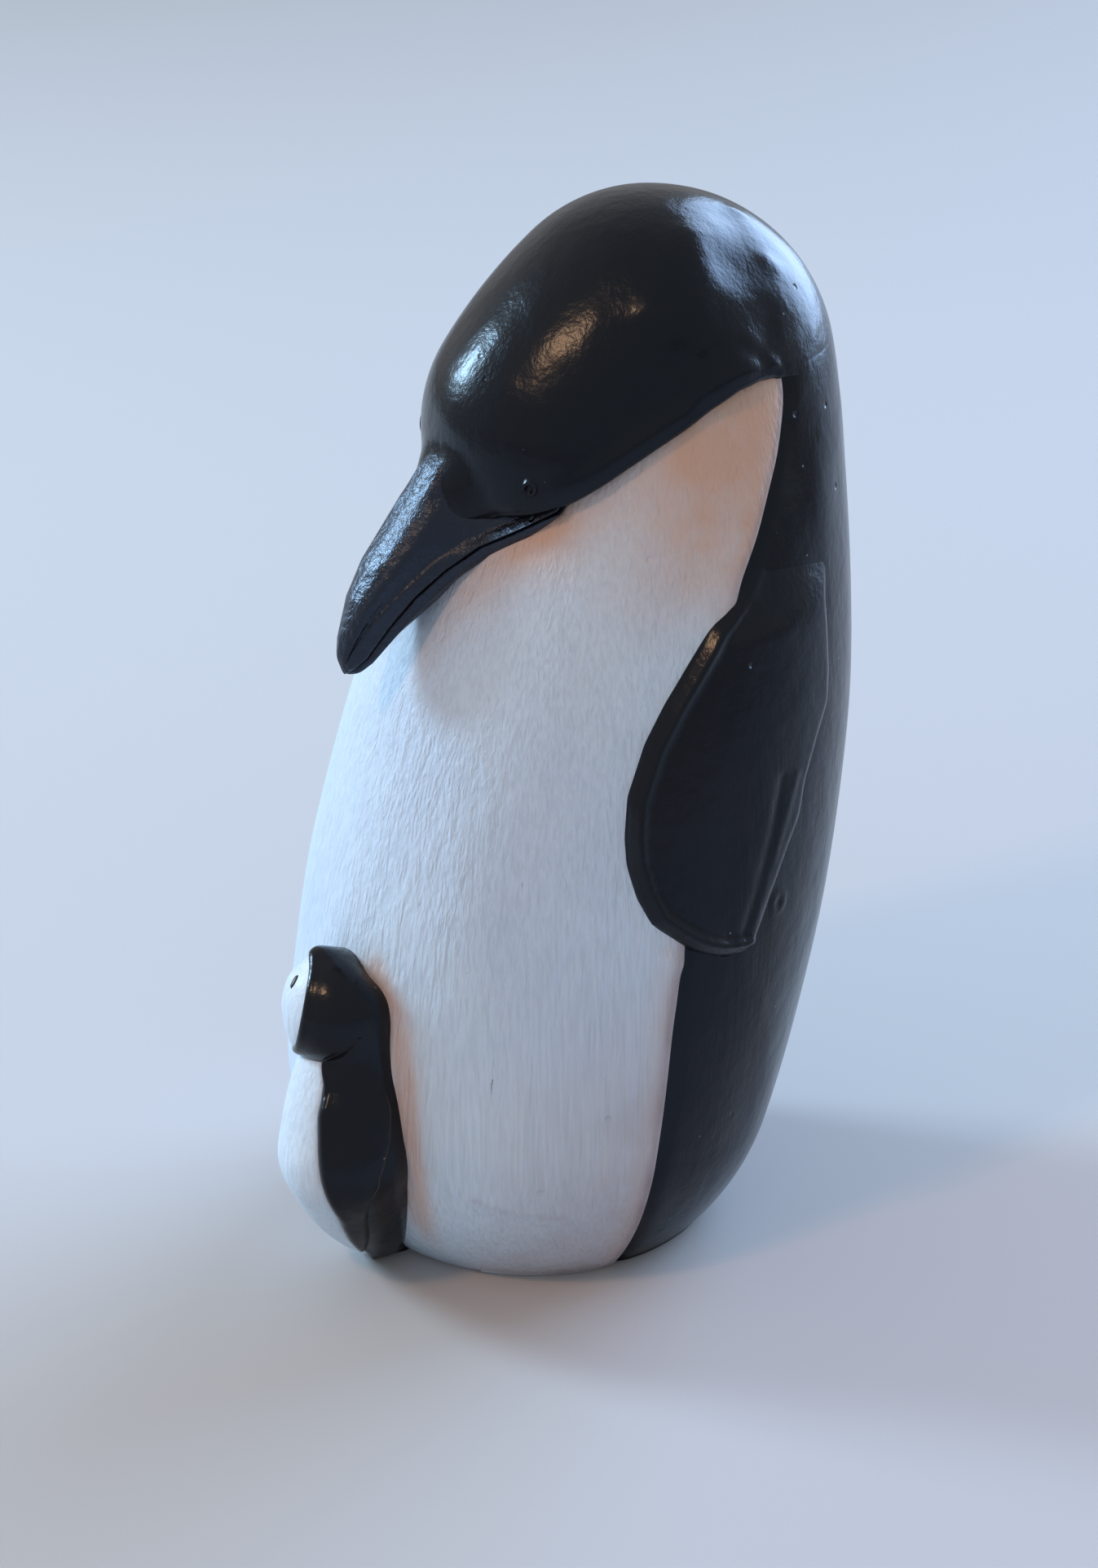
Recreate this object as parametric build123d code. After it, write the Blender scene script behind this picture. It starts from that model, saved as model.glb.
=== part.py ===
from build123d import *

import os
from math import sqrt

# Penguin and chick figurine, shaped by hand from clay and painted, about 85 mm tall.
# The adult bows its head over a chick that leans on its belly. Round forms are eggs made of
# arcs: two balls and the flank arc that rolls over both. A clay roll carries a white belly
# sheet and a black back sheet, which meet along one seam on each flank. The head sits on a
# curved seat, and the bill, the flippers and the chick are pressed on from outside.
# Frame: +Z up, -Y is the adult's front, +X its left. The origin is on the standing surface,
# under the middle of the adult. Lengths in millimetres, angles in degrees.

# Adult body: a ball at the foot, a ball at the nape, and the flank arc over both
foot_ball_radius = 20.2
nape_ball_radius = 12.3
body_spacing = 58.6
body_flank_radius = 141.0
body_lean = 12.7
foot_ball_y = -2.1
foot_ball_z = 14.0

# Sheets over the clay roll
sheet_thickness = 2.4
panel_relief = 0.3

# Seam between the white and the black sheet, in side view, from the body's balls
seam_foot_front = 1.1
seam_hip_back = 1.9
seam_hip_rise = 15.0
seam_neck_back = 2.0
seam_neck_rise = 1.3

# Adult head: a ball at the face, placed from the nape ball, and a ball at the crown
face_ball_radius = 12.4
crown_ball_radius = 13.5
head_spacing = 7.9
head_flank_radius = 44.0
head_nod = 35.0
face_ball_front = 8.8
face_ball_drop = 3.8

# Seat of the head: level behind the nape, then an arc down to the skin under the face
seat_back = 5.8
seat_rise = 2.1
seat_front = 11.5
seat_drop = 6.3

# Adult bill: a ball at the root, held out from the face ball, a ball at the tip, and the gape
bill_tip_radius = 1.15
bill_root_radius = 3.8
bill_spacing = 13.2
bill_flank_radius = 40.0
bill_nod = 47.0
bill_root_turn = 28.1
bill_root_out = 1.0
gape_drop = 1.2

# Adult eye: a ring pressed into the head
eye_radius = 0.95
eye_dimple_radius = 0.5
eye_dimple_depth = 0.25
eye_depth = 0.8
eye_relief = 0.12
eye_turn = 42.0
eye_drop = 5.0

# Adult flipper: a lobe that lies on the flank, its tip placed from the foot ball
flipper_length_share = 0.563
flipper_width = 20.0
flipper_thickness = 1.5
flipper_tip_back = 3.9
flipper_tip_rise = 14.4

# Chick trunk: a ball at the foot, set into the adult's front, one at the belly, one at the
# neck. Each ball is placed from the one under it, to the adult's left, to its front and up.
chick_foot_radius = 2.8
chick_foot_left = 2.9
chick_foot_inset = 3.4
chick_foot_rise = 2.6
chick_belly_radius = 5.65
chick_belly_left = 2.6
chick_belly_front = 4.3
chick_belly_rise = 8.6
chick_neck_radius = 4.4
chick_neck_right = 0.9
chick_neck_back = 1.4
chick_neck_rise = 7.0
chick_flank_radius = 24.0
chick_turn = -41.0

# Chick head: one ball over the neck ball, turned a little further
chick_head_radius = 4.7
chick_head_right = 0.9
chick_head_front = 0.3
chick_head_rise = 5.6
chick_head_turn = -45.0

# Chick mask: two flat-edged lobes, one for each eye, that join in front
chick_mask_front = 2.1
chick_mask_turn = 15.0

# Chick beak: a short blunt cone where the lobes join
chick_beak_radius = 0.9
chick_beak_tip_radius = 0.3
chick_beak_length = 0.7
chick_beak_root = 1.0
chick_beak_drop = 45.0

# Chick eye: a small button pressed into the mask
chick_eye_radius = 0.55
chick_eye_depth = 0.6
chick_eye_relief = 0.08
chick_eye_turn = 36.0
chick_eye_rise = 34.0

# Chick flipper: an oval lobe on the trunk's free flank
chick_flipper_length = 11.8
chick_flipper_width = 5.2
chick_flipper_thickness = 0.6
chick_flipper_turn = 116.0
chick_flipper_rise = 1.4

# One reach for every cutting solid, well past the figure
cut_reach = 2 * (foot_ball_z + body_spacing + crown_ball_radius)

# Flipper outline in side view, as shares: across the width from the tip, up the length
flipper_shares = [
    (0.0, 0.0),
    (-0.16, 0.06),
    (-0.30, 0.24),
    (-0.345, 0.40),
    (-0.24, 0.60),
    (0.0, 0.80),
    (0.28, 0.97),
    (0.62, 0.90),
    (0.66, 0.62),
    (0.46, 0.40),
    (0.30, 0.22),
    (0.17, 0.03),
]


def arc_egg(low_radius, high_radius, spacing, flank_radius):
    """An egg of revolution that stands on Z: its low ball's centre is the origin."""
    low_gap = flank_radius - low_radius
    high_gap = flank_radius - high_radius
    along = (low_gap**2 - high_gap**2 + spacing**2) / (2 * spacing)
    aside = sqrt(low_gap**2 - along**2)
    flank_centre = Vector(-aside, 0, along)
    low_centre = Vector(0, 0, 0)
    high_centre = Vector(0, 0, spacing)
    low_touch = flank_centre + (low_centre - flank_centre).normalized() * flank_radius
    high_touch = flank_centre + (high_centre - flank_centre).normalized() * flank_radius
    low_pole = Vector(0, 0, -low_radius)
    high_pole = Vector(0, 0, spacing + high_radius)
    low_arc = TangentArc(low_pole, low_touch, tangent=(1, 0, 0))
    flank_arc = TangentArc(low_touch, high_touch, tangent=low_arc % 1)
    high_arc = TangentArc(high_touch, high_pole, tangent=flank_arc % 1)
    axis = Line(high_pole, low_pole)
    return revolve(make_face([low_arc, flank_arc, high_arc, axis]), Axis.Z)


def foot_centre():
    """The middle of the body's foot ball."""
    return Vector(0, foot_ball_y, foot_ball_z)


def nape_centre():
    """The middle of the body's nape ball."""
    return foot_centre() + Vector(0, 0, body_spacing).rotate(Axis.X, -body_lean)


def face_centre():
    """The middle of the head's face ball."""
    return nape_centre() + Vector(0, -face_ball_front, -face_ball_drop)


def body_egg(growth):
    """The adult's body, grown by that much all round."""
    egg = arc_egg(
        foot_ball_radius + growth,
        nape_ball_radius + growth,
        body_spacing,
        body_flank_radius + growth,
    )
    return Pos(foot_centre()) * Rot(-body_lean, 0, 0) * egg


def above_ground():
    """Everything from the standing surface up."""
    return Pos(0, 0, cut_reach / 2) * Box(2 * cut_reach, 2 * cut_reach, cut_reach)


def side_view(place, back, rise):
    """The point that far behind and above a place, drawn in side view."""
    return Vector(place.Y + back, place.Z + rise)


def below_seat():
    """All that lies under the head's seat curve, drawn in side view."""
    nape = side_view(nape_centre(), seat_back, seat_rise)
    face = side_view(face_centre(), -seat_front, -seat_drop)
    behind = Vector(cut_reach, nape.Y)
    level = Line(behind, nape)
    saddle = TangentArc(nape, face, tangent=level % 1)
    ahead = face + (saddle % 1) * cut_reach
    rest = Polyline(ahead, Vector(ahead.X, -cut_reach), Vector(cut_reach, -cut_reach), behind)
    region = make_face([level, saddle, Line(face, ahead), rest])
    return extrude(Plane.YZ * region, cut_reach, both=True)


def front_of_seam():
    """All that lies in front of the seam curve, drawn in side view."""
    foot = Vector(foot_ball_y - seam_foot_front, 0)
    hip = side_view(foot_centre(), seam_hip_back, seam_hip_rise)
    neck = side_view(nape_centre(), seam_neck_back, seam_neck_rise)
    below = foot + (foot - hip)
    low_run = Line(below, hip)
    high_run = TangentArc(hip, neck, tangent=low_run % 1)
    above = neck + (high_run % 1) * cut_reach
    rest = Polyline(neck, above, Vector(-cut_reach, above.Y), Vector(-cut_reach, below.Y), below)
    region = make_face([low_run, high_run, rest])
    return extrude(Plane.YZ * region, cut_reach, both=True)


def clay_roll():
    """The inner roll: straight runs that stay one sheet's thickness under the body's skin."""
    flank_low = sqrt(foot_ball_radius**2 - foot_ball_z**2) - sheet_thickness
    belly = foot_ball_radius - sheet_thickness
    nape = nape_ball_radius - sheet_thickness
    outline = Polyline(
        (0, 0, -foot_ball_z - foot_ball_radius),
        (flank_low, 0, -foot_ball_z - foot_ball_radius),
        (flank_low, 0, -foot_ball_z),
        (belly, 0, -foot_ball_z / 4),
        (belly, 0, body_spacing / 3),
        (nape, 0, body_spacing),
        (0, 0, body_spacing),
        close=True,
    )
    roll = revolve(make_face(outline), Axis.Z)
    return Pos(foot_centre()) * Rot(-body_lean, 0, 0) * roll


def head_place():
    """The face ball's place, its Z axis towards the crown."""
    return Pos(face_centre()) * Rot(head_nod - 90, 0, 0)


def adult_head():
    """The bowed head, fused with the nape above the seat."""
    egg = head_place() * arc_egg(
        face_ball_radius, crown_ball_radius, head_spacing, head_flank_radius
    )
    nape = body_egg(0) - below_seat()
    return nape + (egg - below_seat())


def eye_place(side):
    """A place at the face ball's centre whose Z axis points out through the eye."""
    return Pos(face_centre()) * Rot(0, 0, side * eye_turn) * Rot(90 + eye_drop, 0, 0)


def eye_button(side):
    """The clay button that is pressed into the head."""
    skin = Sphere(face_ball_radius + eye_relief)
    button = Pos(0, 0, face_ball_radius) * Cylinder(eye_radius, 2 * eye_depth)
    return eye_place(side) * (button & skin)


def eye_dimple(side):
    """The round dent in the middle of the button."""
    dent = Cylinder(eye_dimple_radius, 2 * eye_dimple_depth)
    return eye_place(side) * Pos(0, 0, face_ball_radius + eye_relief) * dent


def bill_place():
    """The root ball's place, its Z axis towards the bill's tip."""
    reach = Vector(0, -face_ball_radius - bill_root_out, 0).rotate(Axis.X, bill_root_turn)
    return Pos(face_centre() + reach) * Rot(90 + bill_nod, 0, 0)


def bill():
    """The whole bill, from its root inside the head down to its tip."""
    return bill_place() * arc_egg(
        bill_root_radius, bill_tip_radius, bill_spacing, bill_flank_radius
    )


def below_gape():
    """The half space under the gape, which runs along the bill."""
    half = Box(2 * cut_reach, cut_reach, 2 * cut_reach)
    return bill_place() * Pos(0, -gape_drop - cut_reach / 2, 0) * half


def adult_flipper(side):
    """A lobe that lies on the flank, between the body's skin and one thickness over it."""
    length = flipper_length_share * body_spacing
    tip = side_view(foot_centre(), flipper_tip_back, flipper_tip_rise)
    points = [
        (tip.X + across * flipper_width, tip.Y + up * length)
        for across, up in flipper_shares
    ]
    outline = Plane.YZ * make_face(Spline(*points, periodic=True))
    slab = body_egg(flipper_thickness) - body_egg(0)
    return slab & extrude(outline, side * cut_reach)


def ball_egg(low_centre, high_centre, low_radius, high_radius, flank_radius):
    """An egg whose two balls have these centres."""
    run = high_centre - low_centre
    egg = arc_egg(low_radius, high_radius, run.length, flank_radius)
    return Plane(origin=low_centre, z_dir=run) * egg


def chick_foot_centre():
    """The middle of the chick's foot ball, set back from the adult's foremost skin."""
    adult_front = foot_ball_y - foot_ball_radius
    return Vector(chick_foot_left, adult_front + chick_foot_inset, chick_foot_rise)


def chick_belly_centre():
    """The middle of the chick's belly ball."""
    step = Vector(chick_belly_left, -chick_belly_front, chick_belly_rise)
    return chick_foot_centre() + step


def chick_neck_centre():
    """The middle of the chick's neck ball."""
    step = Vector(-chick_neck_right, chick_neck_back, chick_neck_rise)
    return chick_belly_centre() + step


def chick_trunk(growth):
    """The chick from foot to neck, grown by that much all round."""
    foot = chick_foot_centre()
    belly = chick_belly_centre()
    neck = chick_neck_centre()
    belly_radius = chick_belly_radius + growth
    flank = chick_flank_radius + growth
    lower = ball_egg(foot, belly, chick_foot_radius + growth, belly_radius, flank)
    upper = ball_egg(belly, neck, belly_radius, chick_neck_radius + growth, flank)
    return lower + upper


def chick_place():
    """The middle of the chick's belly ball, turned the way its trunk faces."""
    return Pos(chick_belly_centre()) * Rot(0, 0, chick_turn)


def chick_head_place():
    """The middle of the chick's head ball, turned the way its face looks."""
    step = Vector(-chick_head_right, -chick_head_front, chick_head_rise)
    return Pos(chick_neck_centre() + step) * Rot(0, 0, chick_head_turn)


def front_half():
    """All that lies in front of a place, towards its -Y."""
    return Pos(0, -cut_reach / 2, 0) * Box(2 * cut_reach, cut_reach, 2 * cut_reach)


def chick_mask_lobe(side):
    """All that lies in front of one lobe's flat edge."""
    turn = Rot(0, 0, side * chick_mask_turn)
    return chick_head_place() * turn * Pos(0, -chick_mask_front, 0) * front_half()


def chick_beak():
    """A blunt cone that stands out of the mask and points a little down."""
    length = chick_beak_root + chick_beak_length
    cone = Cone(chick_beak_radius, chick_beak_tip_radius, length)
    middle = chick_head_radius + (chick_beak_length - chick_beak_root) / 2
    return chick_head_place() * Rot(90 + chick_beak_drop, 0, 0) * Pos(0, 0, middle) * cone


def chick_eye(side):
    """A small button pressed into the mask."""
    skin = Sphere(chick_head_radius + chick_eye_relief)
    button = Pos(0, 0, chick_head_radius) * Cylinder(chick_eye_radius, 2 * chick_eye_depth)
    aim = Rot(0, 0, side * chick_eye_turn) * Rot(90 - chick_eye_rise, 0, 0)
    return chick_head_place() * aim * (button & skin)


def chick_flipper():
    """An oval lobe on the flank that the adult's belly leaves free."""
    oval = Ellipse(chick_flipper_width / 2, chick_flipper_length / 2)
    outline = Plane.XZ * Pos(0, chick_flipper_rise) * oval
    slab = chick_trunk(chick_flipper_thickness) - chick_trunk(0)
    return slab & chick_place() * Rot(0, 0, chick_flipper_turn) * extrude(outline, cut_reach)


sides = (("left", 1), ("right", -1))
nodes = {}
ground = above_ground()
front = front_of_seam()
skin = body_egg(panel_relief)

# Body: the roll, the white sheet and the black sheet, all cut by the head's seat
seat = below_seat()
stand = body_egg(0) & ground & seat
nodes["body_core"] = clay_roll() & stand
belly_panel = (skin & ground & seat & front) - nodes["body_core"]
nodes["belly_panel"] = belly_panel
nodes["back_mantle"] = stand - front - nodes["body_core"]

# Head with its eyes, then the bill that comes out from under it
head = adult_head()
bill_halves = bill() - head - skin
nodes["upper_mandible"] = bill_halves - below_gape()
nodes["lower_mandible"] = bill_halves & below_gape()
for name, side in sides:
    head -= eye_button(side)
    nodes[f"{name}_eye"] = eye_button(side) - eye_dimple(side)
    nodes[f"{name}_flipper"] = adult_flipper(side) - belly_panel
nodes["head"] = head

# Chick: the trunk fits under the head, and all of it fits the adult's belly
chick_ball = chick_head_place() * Sphere(chick_head_radius) - skin
trunk = (chick_trunk(0) & ground) - chick_ball - skin
bib = chick_place() * front_half()
mask = chick_mask_lobe(1) + chick_mask_lobe(-1)
chick_face = (chick_ball & mask) - chick_beak()
nodes["chick_belly"] = trunk & bib
nodes["chick_body"] = trunk - bib
nodes["chick_left_flipper"] = (chick_flipper() & ground) - chick_ball - skin
nodes["chick_head"] = chick_ball - mask
nodes["chick_beak"] = chick_beak()
for name, side in sides:
    chick_face -= chick_eye(side)
    nodes[f"chick_{name}_eye"] = chick_eye(side)
nodes["chick_face"] = chick_face

os.makedirs("parts", exist_ok=True)
for name, shape in nodes.items():
    print(name, round(shape.volume, 1), shape.is_valid, len(shape.solids()))
    export_step(shape, f"parts/{name}.step")
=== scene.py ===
import math
import bmesh
import bpy
import numpy as np
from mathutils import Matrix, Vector


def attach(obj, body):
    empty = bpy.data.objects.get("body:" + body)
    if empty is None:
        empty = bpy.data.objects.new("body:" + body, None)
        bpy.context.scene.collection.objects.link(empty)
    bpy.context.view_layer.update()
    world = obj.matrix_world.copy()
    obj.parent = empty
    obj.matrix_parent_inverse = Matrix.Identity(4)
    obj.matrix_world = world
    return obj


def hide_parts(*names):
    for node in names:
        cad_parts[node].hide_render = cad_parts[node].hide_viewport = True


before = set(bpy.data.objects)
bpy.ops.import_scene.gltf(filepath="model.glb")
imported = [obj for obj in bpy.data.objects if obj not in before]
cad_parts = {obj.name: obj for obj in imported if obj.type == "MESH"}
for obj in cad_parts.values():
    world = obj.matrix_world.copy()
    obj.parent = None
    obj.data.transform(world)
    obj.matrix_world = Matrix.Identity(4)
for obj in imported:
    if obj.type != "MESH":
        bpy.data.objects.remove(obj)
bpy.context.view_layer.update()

print("stage: frame loaded,", len(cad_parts), "nodes")

# every shape is worked out in millimetres, and finishPiece brings it to metres
mm = 0.001
upright = np.array([0.0, 0.0, 1.0])


def bell(distance, width):
    # one at the middle of a pressed mark, fading to nought a little beyond its width
    return np.exp(-(distance / width) ** 2)


def lumpHeight(points, lumps):
    # how far lumps lift the skin; each has a place, a reach and a height
    lifted = np.zeros(points.shape[:-1])
    for place, reach, height in lumps:
        lifted = lifted + height * bell(np.linalg.norm(points - np.array(place), axis=-1), reach)
    return lifted


def bunchEnds(share, power):
    # moves even shares from nought to one closer together at both ends
    return 0.5 - 0.5 * np.sign(0.5 - share) * np.abs(1 - 2 * share) ** power


def quarterRound(share):
    # the height of a rounded edge, from nought at the edge to one
    return np.sqrt(1 - (1 - np.clip(share, 0, 1)) ** 2)


def footShares(up, footShare):
    # the part of each column that turns under at the foot, and the part above it
    return np.clip((footShare - up) / footShare, 0, 1), np.clip((up - footShare) / (1 - footShare), 0, 1)


def evenOut(values, rounds):
    values = values.copy()
    for _ in range(rounds):
        values[1:-1] = (values[:-2] + 2 * values[1:-1] + values[2:]) / 4
    return values


def towards(turn, rise):
    # a direction, in degrees from the front towards the left, and above the level
    turn, rise = math.radians(turn), math.radians(rise)
    return np.array([math.sin(turn) * math.cos(rise), -math.cos(turn) * math.cos(rise), math.sin(rise)])


def eggField(points, low, high, lowRadius, highRadius, flankRadius):
    # signed distance to an egg: two balls and the arc that rolls over both
    low, high = np.array(low, float), np.array(high, float)
    spacing = np.linalg.norm(high - low)
    axis = (high - low) / spacing
    fromLow = points - low
    along = fromLow @ axis
    aside = np.sqrt(np.maximum((fromLow ** 2).sum(-1) - along ** 2, 0.0))
    lowGap, highGap = flankRadius - lowRadius, flankRadius - highRadius
    centreAlong = (lowGap ** 2 - highGap ** 2 + spacing ** 2) / (2 * spacing)
    centreAside = math.sqrt(lowGap ** 2 - centreAlong ** 2)
    right, rise = aside + centreAside, along - centreAlong
    flank = np.hypot(right, rise) - flankRadius
    atLow = rise * centreAside < -centreAlong * right
    atHigh = rise * centreAside > (spacing - centreAlong) * right
    lowBall = np.hypot(aside, along) - lowRadius
    highBall = np.hypot(aside, along - spacing) - highRadius
    return np.where(atLow, lowBall, np.where(atHigh, highBall, flank))


def softUnion(first, second, blend):
    share = np.clip(0.5 + 0.5 * (second - first) / blend, 0.0, 1.0)
    return second * (1 - share) + first * share - blend * share * (1 - share)


def unitRows(rows):
    return rows / np.linalg.norm(rows, axis=1, keepdims=True)


def smoothStep(low, high, value):
    share = np.clip((value - low) / (high - low), 0.0, 1.0)
    return share * share * (3 - 2 * share)


def lineDistance(points, line):
    # shortest distance from each point to a run of straight pieces
    best = np.full(len(points), 1e9)
    for start, end in zip(line[:-1], line[1:]):
        start, end = np.array(start, float), np.array(end, float)
        run = end - start
        share = np.clip(((points - start) @ run) / (run @ run), 0.0, 1.0)
        best = np.minimum(best, np.linalg.norm(points - start - share[:, None] * run, axis=1))
    return best


def walkOut(stillInside, near, far, rounds):
    # halves the gap between near and far until the edge is found
    for _ in range(rounds):
        middle = (near + far) / 2
        inside = stillInside(middle)
        near, far = np.where(inside, middle, near), np.where(inside, far, middle)
    return far


def castOut(field, origins, directions, reach):
    # the place on each ray where the field changes from inside to outside
    far = walkOut(
        lambda middle: field(origins + directions * middle[:, None]) < 0,
        np.zeros(len(origins)), np.full(len(origins), float(reach)), 30,
    )
    return origins + directions * far[:, None]


def fieldNormals(field, points, step=0.05):
    slope = np.stack([field(points + nudge) - field(points - nudge) for nudge in np.eye(3) * step], -1)
    return unitRows(slope)


def readPoints(bm):
    return np.array([vert.co[:] for vert in bm.verts], float)


def writePoints(bm, points):
    for vert, point in zip(bm.verts, points):
        vert.co = point


def writeMask(bm, name, values):
    layer = bm.verts.layers.float.get(name) or bm.verts.layers.float.new(name)
    for vert, value in zip(bm.verts, values):
        vert[layer] = float(value)


def closeBehind(bm, inward, depth):
    # walls the open edge inwards and fills it behind, so that the sheet is one closed shell
    rim = [edge for edge in bm.edges if edge.is_boundary]
    made = bmesh.ops.extrude_edge_only(bm, edges=rim)["geom"]
    newVerts = [item for item in made if isinstance(item, bmesh.types.BMVert)]
    for vert in newVerts:
        toward = Vector(inward(np.array(vert.co[:]))) - vert.co
        vert.co += toward.normalized() * depth
    newEdges = [item for item in made if isinstance(item, bmesh.types.BMEdge) and item.is_boundary]
    bmesh.ops.triangle_fill(bm, use_beauty=True, use_dissolve=False, edges=newEdges)


def finishPiece(bm, name, nodes, material, sharpAngle=50.0):
    bmesh.ops.remove_doubles(bm, verts=bm.verts, dist=0.0005)
    bmesh.ops.recalc_face_normals(bm, faces=bm.faces)
    bmesh.ops.scale(bm, vec=(mm, mm, mm), verts=bm.verts)
    mesh = bpy.data.meshes.new(name)
    bm.to_mesh(mesh)
    bm.free()
    mesh.shade_smooth()
    mesh.set_sharp_from_angle(angle=math.radians(sharpAngle))
    piece = bpy.data.objects.new(name, mesh)
    bpy.context.scene.collection.objects.link(piece)
    mesh.materials.append(material)
    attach(piece, "root")
    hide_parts(*nodes)
    print("piece:", name, len(mesh.polygons), "faces")
    return piece


# paints: three effects that several of them share, then the paints themselves
def newGroup(name, inputs, outputs):
    tree = bpy.data.node_groups.new(name, "ShaderNodeTree")
    for label, value in inputs:
        kind = "NodeSocketColor" if isinstance(value, tuple) else "NodeSocketFloat"
        tree.interface.new_socket(label, in_out="INPUT", socket_type=kind).default_value = value
    for label, kind in outputs:
        tree.interface.new_socket(label, in_out="OUTPUT", socket_type=kind)
    return tree, tree.nodes.new("NodeGroupInput"), tree.nodes.new("NodeGroupOutput")


def mathNode(tree, operation, first, second=None, third=None, clamp=False):
    node = tree.nodes.new("ShaderNodeMath")
    node.operation, node.use_clamp = operation, clamp
    for socket, value in zip(node.inputs, (first, second, third)):
        if value is None:
            continue
        if isinstance(value, (int, float)):
            socket.default_value = value
        else:
            tree.links.new(value, socket)
    return node.outputs[0]


def rampNode(tree, value, stops):
    node = tree.nodes.new("ShaderNodeValToRGB")
    ramp = node.color_ramp
    while len(ramp.elements) < len(stops):
        ramp.elements.new(0.5)
    for element, (place, shade) in zip(ramp.elements, stops):
        element.position = place
        element.color = (*shade, 1) if isinstance(shade, tuple) else (shade, shade, shade, 1)
    tree.links.new(value, node.inputs[0])
    return node.outputs[0]


def mixColour(tree, factor, first, second, blend="MIX"):
    node = tree.nodes.new("ShaderNodeMix")
    node.data_type, node.blend_type = "RGBA", blend
    for socket, value in zip((node.inputs[0], node.inputs[6], node.inputs[7]), (factor, first, second)):
        if isinstance(value, (int, float)):
            socket.default_value = value
        elif isinstance(value, tuple):
            socket.default_value = (*value, 1)
        else:
            tree.links.new(value, socket)
    return node.outputs[2]


def placeMapped(tree, scale):
    coords = tree.nodes.new("ShaderNodeTexCoord")
    mapping = tree.nodes.new("ShaderNodeMapping")
    mapping.inputs["Scale"].default_value = scale
    tree.links.new(coords.outputs["Object"], mapping.inputs["Vector"])
    return mapping.outputs["Vector"]


def noiseNode(tree, scale, size=1.0, detail=2.0, roughness=0.5, distortion=0.0):
    node = tree.nodes.new("ShaderNodeTexNoise")
    tree.links.new(placeMapped(tree, scale), node.inputs["Vector"])
    node.inputs["Scale"].default_value = size
    node.inputs["Detail"].default_value = detail
    node.inputs["Roughness"].default_value = roughness
    node.inputs["Distortion"].default_value = distortion
    return node.outputs["Fac"]


def brushStrokes():
    # long fine ridges that the bristles leave, up and down the figure; scales are marks per metre
    tree, given, out = newGroup(
        "brushStrokes",
        [("Fine", 1.0), ("Broad", 1.0), ("Breakup", 0.5)],
        [("Height", "NodeSocketFloat"), ("Streak", "NodeSocketFloat")],
    )
    fine = noiseNode(tree, (3600, 3600, 150), detail=3.0, distortion=0.4)
    broad = noiseNode(tree, (900, 900, 60), detail=2.0, distortion=0.6)
    patches = noiseNode(tree, (160, 160, 90), detail=2.0)
    patchMask = rampNode(tree, patches, [(0.35, 0.15), (0.65, 1.0)])
    lost = mathNode(tree, "SUBTRACT", patchMask, 1.0)
    kept = mathNode(tree, "MULTIPLY_ADD", lost, given.outputs["Breakup"], 1.0)
    fineHeight = mathNode(tree, "MULTIPLY", mathNode(tree, "MULTIPLY", fine, given.outputs["Fine"]), kept)
    height = mathNode(tree, "MULTIPLY_ADD", broad, given.outputs["Broad"], fineHeight)
    tree.links.new(height, out.inputs["Height"])
    tree.links.new(fine, out.inputs["Streak"])
    return tree


def clayDents():
    # the slow waves that fingers leave, and small pits in the clay
    tree, given, out = newGroup(
        "clayDents",
        [("Waves", 1.0), ("Pits", 1.0), ("Orange Peel", 1.0)],
        [("Height", "NodeSocketFloat"), ("Pit", "NodeSocketFloat")],
    )
    waves = noiseNode(tree, (210, 210, 170), detail=2.0)
    peel = noiseNode(tree, (1500, 1500, 1500), detail=3.0, roughness=0.6)
    cells = tree.nodes.new("ShaderNodeTexVoronoi")
    tree.links.new(placeMapped(tree, (260, 260, 260)), cells.inputs["Vector"])
    cells.inputs["Scale"].default_value = 1.0
    cells.inputs["Randomness"].default_value = 1.0
    near = rampNode(tree, cells.outputs["Distance"], [(0.03, 1.0), (0.085, 0.0)])
    chosen = rampNode(tree, noiseNode(tree, (95, 95, 95), detail=1.0), [(0.52, 0.0), (0.60, 1.0)])
    pit = mathNode(tree, "MULTIPLY", near, chosen)
    height = mathNode(tree, "MULTIPLY", waves, given.outputs["Waves"])
    height = mathNode(tree, "MULTIPLY_ADD", peel, given.outputs["Orange Peel"], height)
    dug = mathNode(tree, "MULTIPLY", pit, given.outputs["Pits"])
    tree.links.new(mathNode(tree, "SUBTRACT", height, dug), out.inputs["Height"])
    tree.links.new(pit, out.inputs["Pit"])
    return tree


def dustSpecks():
    # pale motes of dust that lie on the paint
    tree, given, out = newGroup("dustSpecks", [("Amount", 0.5)], [("Mask", "NodeSocketFloat")])
    cells = tree.nodes.new("ShaderNodeTexVoronoi")
    tree.links.new(placeMapped(tree, (520, 520, 520)), cells.inputs["Vector"])
    cells.inputs["Scale"].default_value = 1.0
    speck = rampNode(tree, cells.outputs["Distance"], [(0.025, 1.0), (0.06, 0.0)])
    chosen = rampNode(tree, noiseNode(tree, (230, 230, 230), detail=1.0), [(0.56, 0.0), (0.62, 1.0)])
    mask = mathNode(tree, "MULTIPLY", mathNode(tree, "MULTIPLY", speck, chosen), given.outputs["Amount"])
    tree.links.new(mask, out.inputs["Mask"])
    return tree


groups = {"strokes": brushStrokes(), "dents": clayDents(), "dust": dustSpecks()}


def placeGroup(tree, key, **values):
    node = tree.nodes.new("ShaderNodeGroup")
    node.node_tree = groups[key]
    for label, value in values.items():
        node.inputs[label.replace("_", " ")].default_value = value
    return node


def startMaterial(name):
    material = bpy.data.materials.new(name)
    material.use_nodes = True
    return material, material.node_tree, material.node_tree.nodes["Principled BSDF"]


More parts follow.
